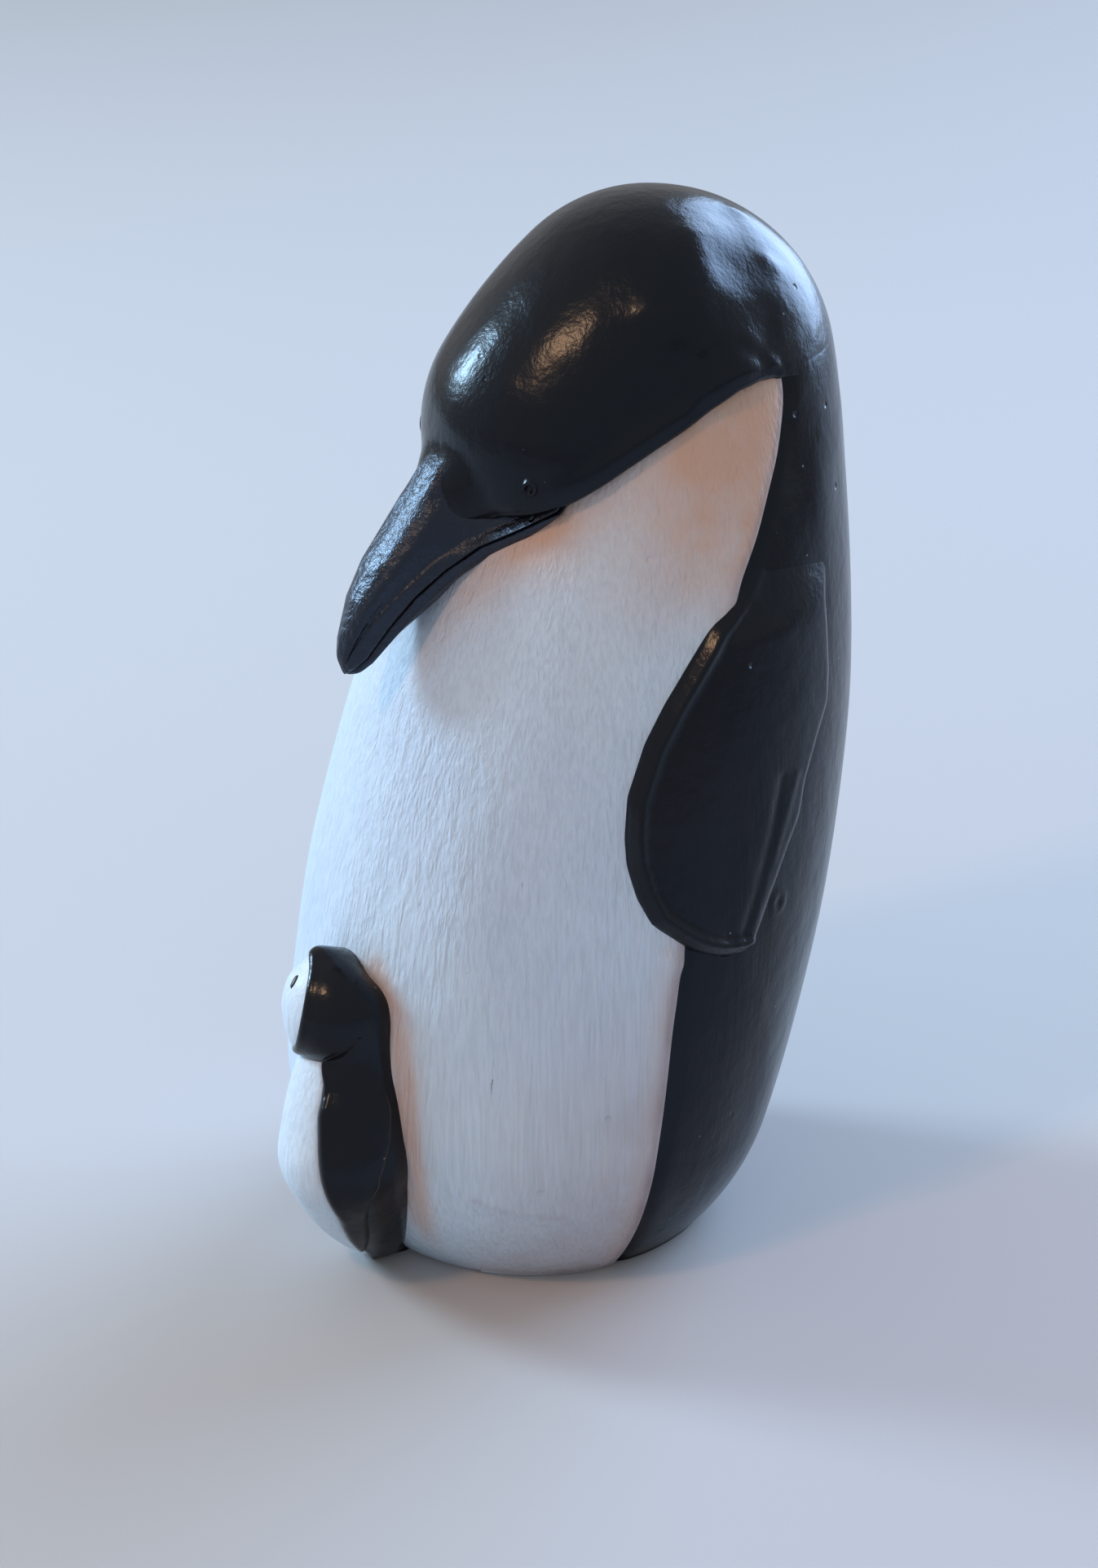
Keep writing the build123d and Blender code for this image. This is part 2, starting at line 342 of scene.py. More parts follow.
def paintedMask(tree, name):
    # a mask that the piece's own vertices carry
    node = tree.nodes.new("ShaderNodeAttribute")
    node.attribute_name = name
    return node.outputs["Fac"]


def bumpInto(tree, shader, height, strength, distance):
    bump = tree.nodes.new("ShaderNodeBump")
    bump.inputs["Strength"].default_value = strength
    bump.inputs["Distance"].default_value = distance
    tree.links.new(height, bump.inputs["Height"])
    tree.links.new(bump.outputs["Normal"], shader.inputs["Normal"])


def blackPaint(name, looks):
    material, tree, shader = startMaterial(name)
    dents = placeGroup(tree, "dents", Waves=looks["waves"], Pits=looks["pits"], Orange_Peel=looks["peel"])
    strokes = placeGroup(tree, "strokes", Fine=looks["strokes"], Broad=looks["strokes"] * 0.6, Breakup=0.9)
    dust = placeGroup(tree, "dust", Amount=looks["dust"])
    patches = noiseNode(tree, (70, 70, 60), detail=3.0)
    tone = rampNode(tree, patches, [(0.35, looks["deep"]), (0.7, looks["worn"])])
    # the pits take the deepest black: painted shade in each pit
    worn = mixColour(tree, dents.outputs["Pit"], tone, looks["deep"])
    shade = mixColour(tree, dust.outputs["Mask"], worn, looks["mote"])
    tree.links.new(shade, shader.inputs["Base Color"])
    patchy = noiseNode(tree, (120, 120, 80), detail=4.0, roughness=0.6)
    rough = mathNode(tree, "MULTIPLY_ADD", patchy, looks["roughSpread"], looks["rough"])
    rough = mathNode(tree, "MULTIPLY_ADD", dust.outputs["Mask"], 0.4, rough, clamp=True)
    tree.links.new(rough, shader.inputs["Roughness"])
    shader.inputs["Coat Weight"].default_value = looks["coat"]
    shader.inputs["Coat Roughness"].default_value = looks["coatRough"]
    shader.inputs["Specular IOR Level"].default_value = looks["specular"]
    shader.inputs["Specular Tint"].default_value = (*looks["sheen"], 1)
    height = mathNode(tree, "ADD", dents.outputs["Height"], strokes.outputs["Height"])
    bumpInto(tree, shader, height, 1.0, looks["bump"])
    return material


def whitePaint(name, looks):
    material, tree, shader = startMaterial(name)
    strokes = placeGroup(tree, "strokes", Fine=looks["fine"], Broad=looks["broad"], Breakup=0.6)
    dents = placeGroup(tree, "dents", Waves=looks["waves"], Pits=looks["pits"], Orange_Peel=looks["peel"])
    dust = placeGroup(tree, "dust", Amount=looks["dust"])
    patches = noiseNode(tree, (55, 55, 40), detail=3.0)
    tone = rampNode(tree, patches, [(0.3, looks["cool"]), (0.7, looks["white"])])
    streaky = rampNode(tree, strokes.outputs["Streak"], [(0.3, 0.88), (0.62, 1.0)])
    painted = mixColour(tree, 1.0, tone, streaky, "MULTIPLY")
    # the peach tint (painted warm shade, and on the upper chest partly the penguin's own peach) and the painted darker
    # shade are both broken up by the same blotches
    blotch = noiseNode(tree, (240, 240, 200), detail=4.0, roughness=0.6)
    warmShadeBlotch = mathNode(tree, "MULTIPLY_ADD", blotch, 0.9, 0.55)
    tinted = mathNode(tree, "MULTIPLY", paintedMask(tree, "warmShadeAndPeach"), warmShadeBlotch, clamp=True)
    warm = mixColour(tree, tinted, painted, looks["warmShadeAndPeach"])
    # painted darker shade on the white, warm grey
    paintedShadeBlotch = mathNode(tree, "MULTIPLY_ADD", blotch, 1.2, 0.3)
    paintedShadeAmount = mathNode(tree, "MULTIPLY", paintedMask(tree, "paintedShade"), paintedShadeBlotch, clamp=True)
    shaded = mixColour(tree, paintedShadeAmount, warm, looks["paintedShade"])
    shade = mixColour(tree, dust.outputs["Mask"], shaded, looks["mote"])
    tree.links.new(shade, shader.inputs["Base Color"])
    rough = mathNode(tree, "MULTIPLY_ADD", strokes.outputs["Streak"], 0.18, looks["rough"])
    tree.links.new(rough, shader.inputs["Roughness"])
    height = mathNode(tree, "ADD", strokes.outputs["Height"], dents.outputs["Height"])
    bumpInto(tree, shader, height, 1.0, looks["bump"])
    return material


def clayMaterial(name, low, high):
    material, tree, shader = startMaterial(name)
    dents = placeGroup(tree, "dents", Waves=1.0, Pits=1.5, Orange_Peel=0.6)
    shade = rampNode(tree, noiseNode(tree, (400, 400, 400), detail=5.0), [(0.3, low), (0.7, high)])
    tree.links.new(shade, shader.inputs["Base Color"])
    tree.links.new(mathNode(tree, "MULTIPLY_ADD", dents.outputs["Pit"], 0.2, 0.7), shader.inputs["Roughness"])
    bumpInto(tree, shader, dents.outputs["Height"], 0.8, 0.00012)
    return material


def eyePaint(name, ring, middle):
    material, tree, shader = startMaterial(name)
    dents = placeGroup(tree, "dents", Waves=0.6, Pits=0.6, Orange_Peel=0.5)
    tree.links.new(mixColour(tree, paintedMask(tree, "centre"), ring, middle), shader.inputs["Base Color"])
    tree.links.new(mathNode(tree, "MULTIPLY_ADD", dents.outputs["Pit"], 0.3, 0.4), shader.inputs["Roughness"])
    bumpInto(tree, shader, dents.outputs["Height"], 0.8, 0.00010)
    return material


blackLooks = dict(
    deep=(0.0030, 0.0030, 0.0048), worn=(0.0070, 0.0058, 0.0066), mote=(0.26, 0.27, 0.30),
    rough=0.15, roughSpread=0.12, coat=0.06, coatRough=0.22, specular=0.32, sheen=(0.60, 0.78, 1.0),
    waves=1.0, pits=1.2, peel=0.16, strokes=0.12, dust=0.8, bump=0.00022,
)
billLooks = dict(
    blackLooks, rough=0.26, specular=0.75, sheen=(0.50, 0.68, 1.0), peel=0.55, strokes=0.30, bump=0.00030,
)
# the peach colour is painted warm shade on the white, on the upper chest partly the penguin's own peach; the warm grey
# is painted darker shade
whiteLooks = dict(
    white=(0.65, 0.81, 0.96), cool=(0.57, 0.72, 0.92), warmShadeAndPeach=(0.62, 0.42, 0.33), paintedShade=(0.30, 0.24, 0.26),
    mote=(0.45, 0.42, 0.42), rough=0.38, fine=0.60, broad=0.75, waves=1.0, pits=0.4, peel=0.15, dust=0.35,
    bump=0.00026,
)
chickLooks = dict(whiteLooks, white=(0.68, 0.82, 0.95), cool=(0.62, 0.76, 0.92), fine=0.25, broad=0.25)

blackSatin = blackPaint("blackSatinPaint", blackLooks)
blackBill = blackPaint("blackBillPaint", billLooks)
whiteBelly = whitePaint("whiteBellyPaint", whiteLooks)
whiteChick = whitePaint("whiteChickPaint", chickLooks)
bareClay = clayMaterial("bareClay", (0.42, 0.36, 0.32), (0.60, 0.54, 0.48))
greyEye = eyePaint("greyEyePaint", (0.012, 0.011, 0.02), (0.17, 0.19, 0.27))
print("stage: paints ready")

# the adult's form
figure = dict(
    foot=(0.0, -2.1, 14.0), footRadius=20.2, nape=(0.0, 10.78, 71.17), napeRadius=12.3, flank=141.0,
    face=(0.0, 1.98, 67.37), faceRadius=12.4, crown=(0.0, 8.45, 71.88), crownRadius=13.5, headFlank=44.0,
    neckBlend=1.6, lipBall=(0.8, -8.2, 64.3), lipBallRadius=3.5, lipBallBlend=1.4,
    # lumps and dents that fingers left; a dent has a height below zero
    lumps=[
        ((12.9, 8.0, 75.5), 2.6, 0.35),
        ((10.4, 4.6, 79.2), 2.4, 0.30),
        ((9.0, 9.5, 82.0), 2.2, -0.30),
        ((11.5, 3.6, 75.6), 1.6, -0.18),
        ((-11.0, 5.0, 78.0), 2.6, 0.25),
        ((-12.6, 9.0, 74.6), 2.4, 0.30),
        ((13.4, 17.5, 68.0), 4.0, 0.20),
        ((9.0, 20.5, 70.0), 5.0, 0.22),
    ],
)


def bodyField(points):
    return eggField(
        points, figure["foot"], figure["nape"], figure["footRadius"], figure["napeRadius"], figure["flank"]
    )


def headEggField(points):
    return eggField(
        points, figure["face"], figure["crown"], figure["faceRadius"], figure["crownRadius"],
        figure["headFlank"],
    )


def blackField(points):
    beside = np.abs(points[..., 0]) - figure["lipBall"][0]
    below = points[..., 1:] - np.array(figure["lipBall"][1:])
    lipBall = np.sqrt(beside ** 2 + (below ** 2).sum(-1)) - figure["lipBallRadius"]
    head = softUnion(headEggField(points), lipBall, figure["lipBallBlend"])
    return softUnion(bodyField(points), head, figure["neckBlend"]) - lumpHeight(points, figure["lumps"])


def spinePoints(heights):
    slope = (figure["nape"][1] - figure["foot"][1]) / (figure["nape"][2] - figure["foot"][2])
    depth = figure["foot"][1] + (heights - figure["foot"][2]) * slope
    return np.stack([np.zeros_like(heights), depth, heights], -1)


def aroundSpine(angles):
    # level directions, counted from the adult's front towards its left
    return np.stack([np.sin(angles), -np.cos(angles), np.zeros_like(angles)], -1)


def skinPoints(field, angles, heights, spine=spinePoints):
    return castOut(field, spine(heights), aroundSpine(angles), 40.0)


# the seam between white and black, and the lip of the head, both in side view: depth by height
seamHeights = [-2.0, 0.0, 8.8, 16.5, 23.9, 28.9, 45.0, 58.8, 62.1, 65.4, 67.6, 71.5, 72.6, 75.0]
seamDepths = [-3.5, -3.3, -2.9, -2.2, -1.6, -0.9, 2.0, 6.3, 8.4, 10.0, 11.2, 12.6, 12.7, 12.7]
lipDepths = [-12.0, -9.3, -8.4, -7.1, -5.3, -3.2, -1.0, 1.4, 3.9, 5.9, 8.1, 10.1, 11.6, 12.8, 14.0, 24.0]
lipHeights = [62.2, 62.7, 63.8, 64.4, 65.4, 66.9, 68.4, 69.9, 71.3, 72.5, 73.6, 74.0, 73.9, 73.4, 73.2, 73.2]


def seamAngles(field):
    # at a row of heights, the angle around the spine at which the skin reaches the seam
    heights = np.linspace(-1.0, 74.0, 151)
    target = np.interp(heights, seamHeights, seamDepths)
    found = walkOut(
        lambda angles: skinPoints(field, angles, heights)[:, 1] < target,
        np.zeros_like(heights), np.full_like(heights, math.pi), 26,
    )
    return heights, evenOut(found, 6)


seamRows = seamAngles(bodyField)


def gridShares(bm):
    # a flat grid's own two shares, each from nought to one
    flat = readPoints(bm)
    return flat[:, 0] + 0.5, flat[:, 1] + 0.5


# white belly sheet
bellySheet = dict(
    across=250, upward=190, relief=0.3, rimRound=0.45, rimShare=0.10, roundShare=0.55, sink=0.8,
    footShare=0.035, footRound=0.35, beyondLip=0.5, tuckDepth=0.5, swell=0.22, wall=0.8,
    curlHeight=0.42, curlWidth=0.75, crackDepth=0.10, crackWidth=0.22, crackLip=0.07,
    bumps=[
        ((16.3, -7.8, 43.8), 0.5, 0.16), ((16.6, -9.0, 40.0), 0.45, 0.22), ((16.9, -9.4, 38.9), 0.35, 0.16),
        ((19.7, -7.2, 26.1), 0.4, 0.14), ((16.1, -13.6, 24.7), 0.4, 0.12), ((17.2, -1.5, 54.5), 0.5, 0.12),
        ((9.3, -11.4, 50.8), 3.2, -0.16), ((2.0, -15.0, 47.5), 2.6, 0.14), ((-4.0, -13.5, 50.5), 2.8, -0.12),
        ((12.0, -15.5, 33.0), 4.5, 0.12), ((18.5, -10.5, 20.0), 3.5, -0.12), ((-9.0, -17.0, 30.0), 5.0, 0.12),
        ((-16.5, -9.0, 42.0), 4.0, -0.12), ((-17.0, -10.0, 12.0), 4.0, 0.10),
    ],
    # the edge that curls up beside the flipper, and a crack near the foot
    curl=[
        (19.0, -5.9, 43.9), (19.5, -6.3, 40.7), (19.9, -6.2, 38.5), (20.4, -5.7, 35.8), (20.9, -4.6, 33.4),
        (21.2, -2.8, 31.0), (21.1, -0.9, 30.0),
    ],
    crack=[(14.4, -15.9, 9.7), (15.4, -14.7, 9.0), (16.9, -12.3, 8.3), (18.2, -9.3, 8.0)],
)
# peach on the white: painted warm shade where the head's lip, the bill and the chick shade it, along the rim and low
# on the flank turned from the window, and on the upper chest partly the penguin's own peach; how much beside the
# head's lip, the bill, the chick, and so on, and along which lines
bellyWarmShadeAndPeach = dict(
    lip=0.62, bill=0.5, chick=0.7, chest=0.85, edge=0.35, flank=0.34,
    lipLine=[
        (0, -9.5, 61.3), (4.5, -8.6, 62.6), (8.8, -5.3, 63.9), (11.1, -1.0, 67.5), (12.5, 3.9, 70.5),
        (12.8, 8.1, 72.5), (12.6, 11.0, 73.6),
    ],
    billLine=[
        (1.2, -18.2, 50.9), (2.4, -14.9, 53.2), (4.3, -13.0, 56.8), (6.4, -10.9, 59.3), (8.0, -8.6, 61.6),
        (9.0, -6.2, 63.5),
    ],
    chickLine=[(5.9, -20.6, 27.5), (8.6, -20.0, 24.5), (9.9, -19.7, 19.5), (10.6, -19.6, 12.0), (9.8, -18.2, 2.0)],
)
# painted shade on the white: darker along the rim, in the crack and at the foot
bellyPaintedShade = dict(edge=0.6, crack=0.5, foot=0.35)


def buildBellySheet():
    sizes = bellySheet
    bm = bmesh.new()
    bmesh.ops.create_grid(bm, x_segments=sizes["across"], y_segments=sizes["upward"], size=0.5)
    across, up = gridShares(bm)
    side = np.sign(across - 0.5)
    # rows bunch up at the rims and at the foot
    reach = np.abs(across - 0.5) * 2
    onRim = np.clip((reach - (1 - sizes["rimShare"])) / sizes["rimShare"], 0, 1)
    flatShare = np.clip(reach / (1 - sizes["rimShare"]), 0, 1)
    onFoot, upShare = footShares(up, sizes["footShare"])

    def seamAt(heights):
        return np.interp(heights, *seamRows)

    # top of each column: the skin under the head's lip, and a little beyond it
    columns = np.linspace(0, 1, 60)

    def underLip(heights):
        skin = skinPoints(bodyField, columns * seamAt(heights), heights)
        return heights < np.interp(skin[:, 1], lipDepths, lipHeights) + sizes["beyondLip"]

    columnTops = walkOut(underLip, np.full(60, 40.0), np.full(60, 76.0), 26)
    tops = np.interp(flatShare, columns, columnTops)
    heights = sizes["footRound"] + (tops - sizes["footRound"]) * upShare
    points = skinPoints(bodyField, side * (flatShare * seamAt(heights)), heights)
    normals = fieldNormals(bodyField, points)

    # quarter round at the rims, then a wall that sinks into the black clay
    rimTurn = np.clip(onRim / sizes["roundShare"] * math.pi / 2, 0, math.pi / 2)
    footTurn = onFoot * math.pi / 2
    deeper = np.clip((onRim - sizes["roundShare"]) / (1 - sizes["roundShare"]), 0, 1) * sizes["sink"]
    offset = sizes["relief"] - sizes["rimRound"] * (1 - np.cos(rimTurn)) - deeper
    offset = offset - sizes["footRound"] * (1 - np.cos(footTurn))
    # the sheet swells a little towards its rim, where the clay was pressed back
    swell = smoothStep(0.80, 0.97, flatShare) * (1 - smoothStep(0.97, 1.0, flatShare) * 0.3)
    offset = offset + sizes["swell"] * swell * smoothStep(3.0, 12.0, heights)
    offset = offset + lumpHeight(points, sizes["bumps"])
    curl = bell(lineDistance(points, sizes["curl"]), sizes["curlWidth"])
    offset = offset + sizes["curlHeight"] * curl * smoothStep(45, 38, points[:, 2])
    crack = lineDistance(points, sizes["crack"])
    offset = offset - sizes["crackDepth"] * bell(crack, sizes["crackWidth"])
    offset = offset + sizes["crackLip"] * bell(crack - 0.5, 0.3)
    # under the head it dives in, so that nothing shows above the lip
    tucked = smoothStep(0.0, 0.6, heights - np.interp(points[:, 1], lipDepths, lipHeights))
    offset = offset - sizes["tuckDepth"] * tucked
    # the rim's round also draws it back along the skin
    slide = unitRows(np.array([0.0, 1.0, 0.0]) - normals * normals[:, 1:2])
    drawn = sizes["rimRound"] * (np.sin(rimTurn) - 1) * (reach > 0.5)
    moved = points + normals * offset[:, None] + slide * drawn[:, None]
    moved[:, 2] = np.where(onFoot > 0, heights - sizes["footRound"] * np.sin(footTurn), moved[:, 2])
    moved[:, 2] = np.maximum(moved[:, 2], 0.0)
    writePoints(bm, moved)

    # the painted warm shade and the painted darker shade follow the lines that the head, the bill and the chick leave;
    # on the upper chest the warm tint is partly the penguin's own peach
    warmShadeSizes, paintedShadeSizes = bellyWarmShadeAndPeach, bellyPaintedShade
    leftward = np.stack([np.abs(moved[:, 0]), moved[:, 1], moved[:, 2]], -1)
    # painted warm shade under the head's lip, beside the bill and beside the chick, where they shade the white
    nearLip = warmShadeSizes["lip"] * bell(lineDistance(leftward, warmShadeSizes["lipLine"]), 4.6)
    nearBill = warmShadeSizes["bill"] * bell(lineDistance(leftward, warmShadeSizes["billLine"]), 2.0)
    nearChick = warmShadeSizes["chick"] * bell(lineDistance(moved, warmShadeSizes["chickLine"]) - 0.4, 1.0)
    # the upper chest: partly the penguin's own peach, partly painted warm shade under the head
    chest = warmShadeSizes["chest"] * smoothStep(53, 64, heights) * smoothStep(0.50, 0.85, flatShare)
    edge = warmShadeSizes["edge"] * bell(1 - flatShare, 0.05)
    # low on the flank, turned from the window: painted warm shade, which also feeds the painted darker shade below
    flank = warmShadeSizes["flank"] * smoothStep(0.40, 0.95, flatShare) * smoothStep(36, 4, heights)
    writeMask(bm, "warmShadeAndPeach", np.clip(nearLip + nearBill + chest + edge + nearChick + flank, 0, 1))
    # painted darker shade: along the rim's groove, in the crack, at the foot and low on the flank turned from the
    # window
    shaded = paintedShadeSizes["edge"] * bell(1 - flatShare, 0.018) + paintedShadeSizes["crack"] * bell(crack, 0.3)
    writeMask(bm, "paintedShade", np.clip(shaded + paintedShadeSizes["foot"] * bell(heights, 1.2) + flank, 0, 1))
    closeBehind(bm, lambda point: spinePoints(np.array([point[2]]))[0], sizes["wall"])
    return finishPiece(bm, "bellySheet", ["belly_panel"], whiteBelly)


buildBellySheet()

# black back sheet
backSheet = dict(
    across=230, upward=190, top=75.4, groove=0.45, grooveWidth=0.9, overlap=0.05, footShare=0.035, footHeight=0.30,
    footRound=0.35, diveFrom=73.3, dive=0.35, wall=0.8,
    lumps=[
        ((19.5, 8.5, 50.0), 5.0, 0.10), ((10.0, 21.5, 45.0), 7.0, 0.15), ((-12.0, 20.0, 50.0), 6.0, 0.12),
        ((0.0, 24.0, 60.0), 6.0, -0.12), ((16.0, 14.0, 20.0), 6.0, -0.10), ((13.5, 15.5, 62.0), 3.0, 0.16),
        ((15.6, 13.0, 66.5), 2.2, -0.14), ((-14.0, 14.0, 63.0), 3.5, 0.14),
    ],
    craters=[((19.7, 9.0, 32.2), 0.75, 0.12), ((16.6, 14.7, 31.6), 0.40, 0.06), ((-18.5, 9.0, 38.0), 0.6, 0.08)],
)


def buildBackSheet():
    sizes = backSheet
    bm = bmesh.new()
    bmesh.ops.create_grid(bm, x_segments=sizes["across"], y_segments=sizes["upward"], size=0.5)
    across, up = gridShares(bm)
    onFoot, upShare = footShares(up, sizes["footShare"])
    heights = sizes["footHeight"] + (sizes["top"] - sizes["footHeight"]) * upShare
    # each row runs from the left seam over the back to the right seam
    start = np.interp(heights, *seamRows) - sizes["overlap"]
    angles = start + (2 * math.pi - 2 * start) * bunchEnds(across, 0.8)
    points = skinPoints(blackField, angles, heights)
    normals = fieldNormals(blackField, points)
    offset = lumpHeight(points, sizes["lumps"])
    for place, size, height in sizes["craters"]:
        away = np.linalg.norm(points - np.array(place), axis=1) / size
        offset = offset + height * (bell(away - 1, 0.35) - 0.8 * bell(away, 0.6))
    # a groove beside the white sheet
    fromSeam = np.maximum(points[:, 1] - np.interp(heights, seamHeights, seamDepths), 0)
    offset = offset - sizes["groove"] * bell(fromSeam, sizes["grooveWidth"])
    # the top dives under the head's nape
    offset = offset - sizes["dive"] * np.clip((points[:, 2] - sizes["diveFrom"]) / 1.8, 0, 1.2) ** 3
    footTurn = onFoot * math.pi / 2
    offset = offset - sizes["footRound"] * (1 - np.cos(footTurn))
    moved = points + normals * offset[:, None]
    moved[:, 2] = np.where(onFoot > 0, heights - sizes["footHeight"] * np.sin(footTurn), moved[:, 2])
    moved[:, 2] = np.maximum(moved[:, 2], 0.0)
    writePoints(bm, moved)
    closeBehind(bm, lambda point: spinePoints(np.array([point[2]]))[0], sizes["wall"])
    return finishPiece(bm, "backSheet", ["back_mantle"], blackSatin)


buildBackSheet()

# bowed head
bowedHead = dict(
    around=384, rings=190, middle=(0.0, 5.5, 74.0), pole=(0.0, -0.25, 1.0), domeEnd=0.80, roundEnd=0.90,
    lipRound=0.55, napeRound=0.06, lipSwell=0.22, backFrom=12.6, napeSink=0.02,
    # line, width and depth of each crease; a ridge has a depth below zero
    creases=[
        ([(12.7, 11.6, 73.9), (13.0, 10.1, 75.3), (12.7, 8.5, 76.5), (12.6, 6.7, 76.4), (12.7, 5.6, 75.6)], 0.7, 0.16),
        ([(13.0, 10.4, 75.0), (12.0, 11.6, 76.6), (11.0, 12.4, 78.0)], 0.8, 0.10),
        ([(11.2, 1.8, 76.2), (12.0, 2.4, 74.7), (12.6, 3.1, 73.5), (13.1, 4.3, 72.4), (13.3, 5.3, 72.3)], 0.8, 0.08),
        ([(9.6, 2.7, 79.4), (11.0, 4.0, 78.3), (11.2, 6.1, 79.0), (9.2, 7.6, 81.7), (6.8, 8.0, 83.6)], 1.6, -0.22),
        ([(5.0, 12.5, 84.0), (8.6, 11.6, 81.4), (11.4, 11.0, 77.6)], 2.2, 0.30),
        ([(-12.7, 11.3, 73.7), (-13.0, 10.1, 75.3), (-12.7, 8.5, 76.5)], 0.8, 0.14),
        ([(-5.0, 12.5, 84.0), (-9.0, 11.2, 81.0)], 2.4, 0.20),
        ([(3.2, 14.2, 84.2), (3.6, 14.6, 83.9)], 0.7, -0.14),
        ([(8.2, 14.0, 81.0), (8.4, 14.4, 80.6)], 0.9, -0.16),
        ([(11.0, 17.4, 75.8), (11.2, 17.6, 75.2)], 0.9, -0.12),
    ],
)


def buildBowedHead():
    sizes = bowedHead
    bm = bmesh.new()
    bmesh.ops.create_uvsphere(bm, u_segments=sizes["around"], v_segments=sizes["rings"], radius=1.0)
    ball = readPoints(bm)
    turn = np.arctan2(ball[:, 0], -ball[:, 1])
    fall = np.arccos(np.clip(ball[:, 2], -1, 1)) / math.pi
    middle = np.array(sizes["middle"])

    # the lip: where the black skin meets the lip curve, found by walking out from the middle
    steps = np.linspace(-math.pi, math.pi, 721)

    def onLipCurve(out):
        spots = middle + aroundSpine(steps) * out[:, None]
        spots[:, 2] = np.interp(spots[:, 1], lipDepths, lipHeights)
        return spots

    out = walkOut(lambda out: blackField(onLipCurve(out)) < 0, np.zeros(721), np.full(721, 30.0), 30)
    ringLip = onLipCurve(out)
    lips = np.stack([np.interp(turn, steps, ringLip[:, axis]) for axis in range(3)], -1)
    toLip = unitRows(lips - middle)
    pole = np.array(sizes["pole"])
    pole /= np.linalg.norm(pole)
    # down each meridian from the pole to the lip, rows bunched near the lip, then round and under
    domeEnd, roundEnd = sizes["domeEnd"], sizes["roundEnd"]
    down = np.clip(fall / domeEnd, 0, 1)
    down = down * (1.22 - 0.22 * down ** 3)
    rolled = np.clip((fall - domeEnd) / (roundEnd - domeEnd), 0, 1)
    under = np.clip((fall - roundEnd) / (1 - roundEnd), 0, 1)
    between = np.arccos(np.clip(toLip @ pole, -1, 1))
    first = np.sin((1 - down) * between) / np.sin(between)
    second = np.sin(down * between) / np.sin(between)
    rays = unitRows(first[:, None] * pole + second[:, None] * toLip)
    middles = np.broadcast_to(middle, rays.shape)
    points = castOut(blackField, middles, rays, 40.0)
    normals = fieldNormals(blackField, points)
    front = 1 - smoothStep(sizes["backFrom"] - 0.8, sizes["backFrom"] + 0.4, lips[:, 1])
    offset = np.zeros(len(points))
    for line, width, depth in sizes["creases"]:
        offset = offset - depth * bell(lineDistance(points, line), width)
    # the lip thickens a little before it turns under, and the nape's edge lies just under the back
    toEdge = np.linalg.norm(points - lips, axis=1)
    offset = offset - sizes["napeSink"] * (1 - front) * (1 - smoothStep(0.1, 1.2, toEdge))
    offset = offset + sizes["lipSwell"] * bell(toEdge - 0.9, 0.9) * front
    points = points + normals * offset[:, None]
    arc = rolled * math.pi / 2
    roundRadius = sizes["lipRound"] * front + sizes["napeRound"] * (1 - front)
    justAbove = unitRows(toLip * 0.97 + pole * 0.03)
    tangent = unitRows(lips - castOut(blackField, middles, justAbove, 40.0))
    outwards = fieldNormals(blackField, lips)
    bend = tangent * (np.sin(arc) * roundRadius)[:, None] - outwards * ((1 - np.cos(arc)) * roundRadius)[:, None]
    points = np.where((rolled > 0)[:, None], points + bend, points)
    # the underside gathers to a point inside
    gather = middle + np.array([0, 0, -2.0])
    points = np.where((under > 0)[:, None], points + (gather - points) * under[:, None] ** 1.3, points)
    writePoints(bm, points)
    return finishPiece(bm, "bowedHead", ["head"], blackSatin, 60.0)


buildBowedHead()

# bill: a fan of sections along the line from the forehead to the tip
bill = dict(
    around=176, along=190, root=(0.0, -9.84, 61.06), tip=(0.0, -18.84, 51.41), upperEnd=14.0, lowerEnd=13.9,
    groove=0.30, roundTip=12.9,
    # places along the bill, from the root towards the tip, and the sizes there
    places=[-7.5, -5.6, -2.7, 0.0, 3.0, 6.0, 9.0, 12.0, 13.4, 14.0],
    halfWidth=[10.1, 9.9, 7.6, 5.2, 3.7, 2.85, 2.15, 1.45, 0.85, 0.5],
    gape=[-0.4, -0.8, -0.5, -0.15, 0.1, 0.3, 0.1, -0.35, -0.35, -0.35],
    lowEdge=[-0.9, -1.1, -1.5, -1.30, -0.85, -0.65, -0.7, -0.9, -0.8, -0.7],
    keel=[-3.6, -3.9, -4.0, -3.6, -3.2, -2.8, -2.2, -1.45, -1.1, -0.8],
    bandSide=[8.8, 8.4, 6.1, 4.2, 3.2, 2.65, 2.0, 1.2, 0.7, 0.4],
    bandTop=[-0.3, -0.4, -0.1, 0.5, 1.2, 1.5, 1.6, 0.95, 0.45, 0.1],
    ridgeSide=[2.4, 2.4, 2.5, 2.6, 2.5, 2.25, 1.65, 0.95, 0.5, 0.2],
    ridgeTop=[1.0, 1.6, 2.9, 3.6, 3.35, 3.2, 2.75, 1.6, 0.8, 0.2],
    crest=[3.0, 4.7, 4.8, 4.35, 4.05, 3.85, 3.2, 1.95, 1.05, 0.3],
)


def alongBill(name, shift=0.0, scale=1.0):
    return lambda places: np.interp(places, bill["places"], bill[name]) * scale + shift


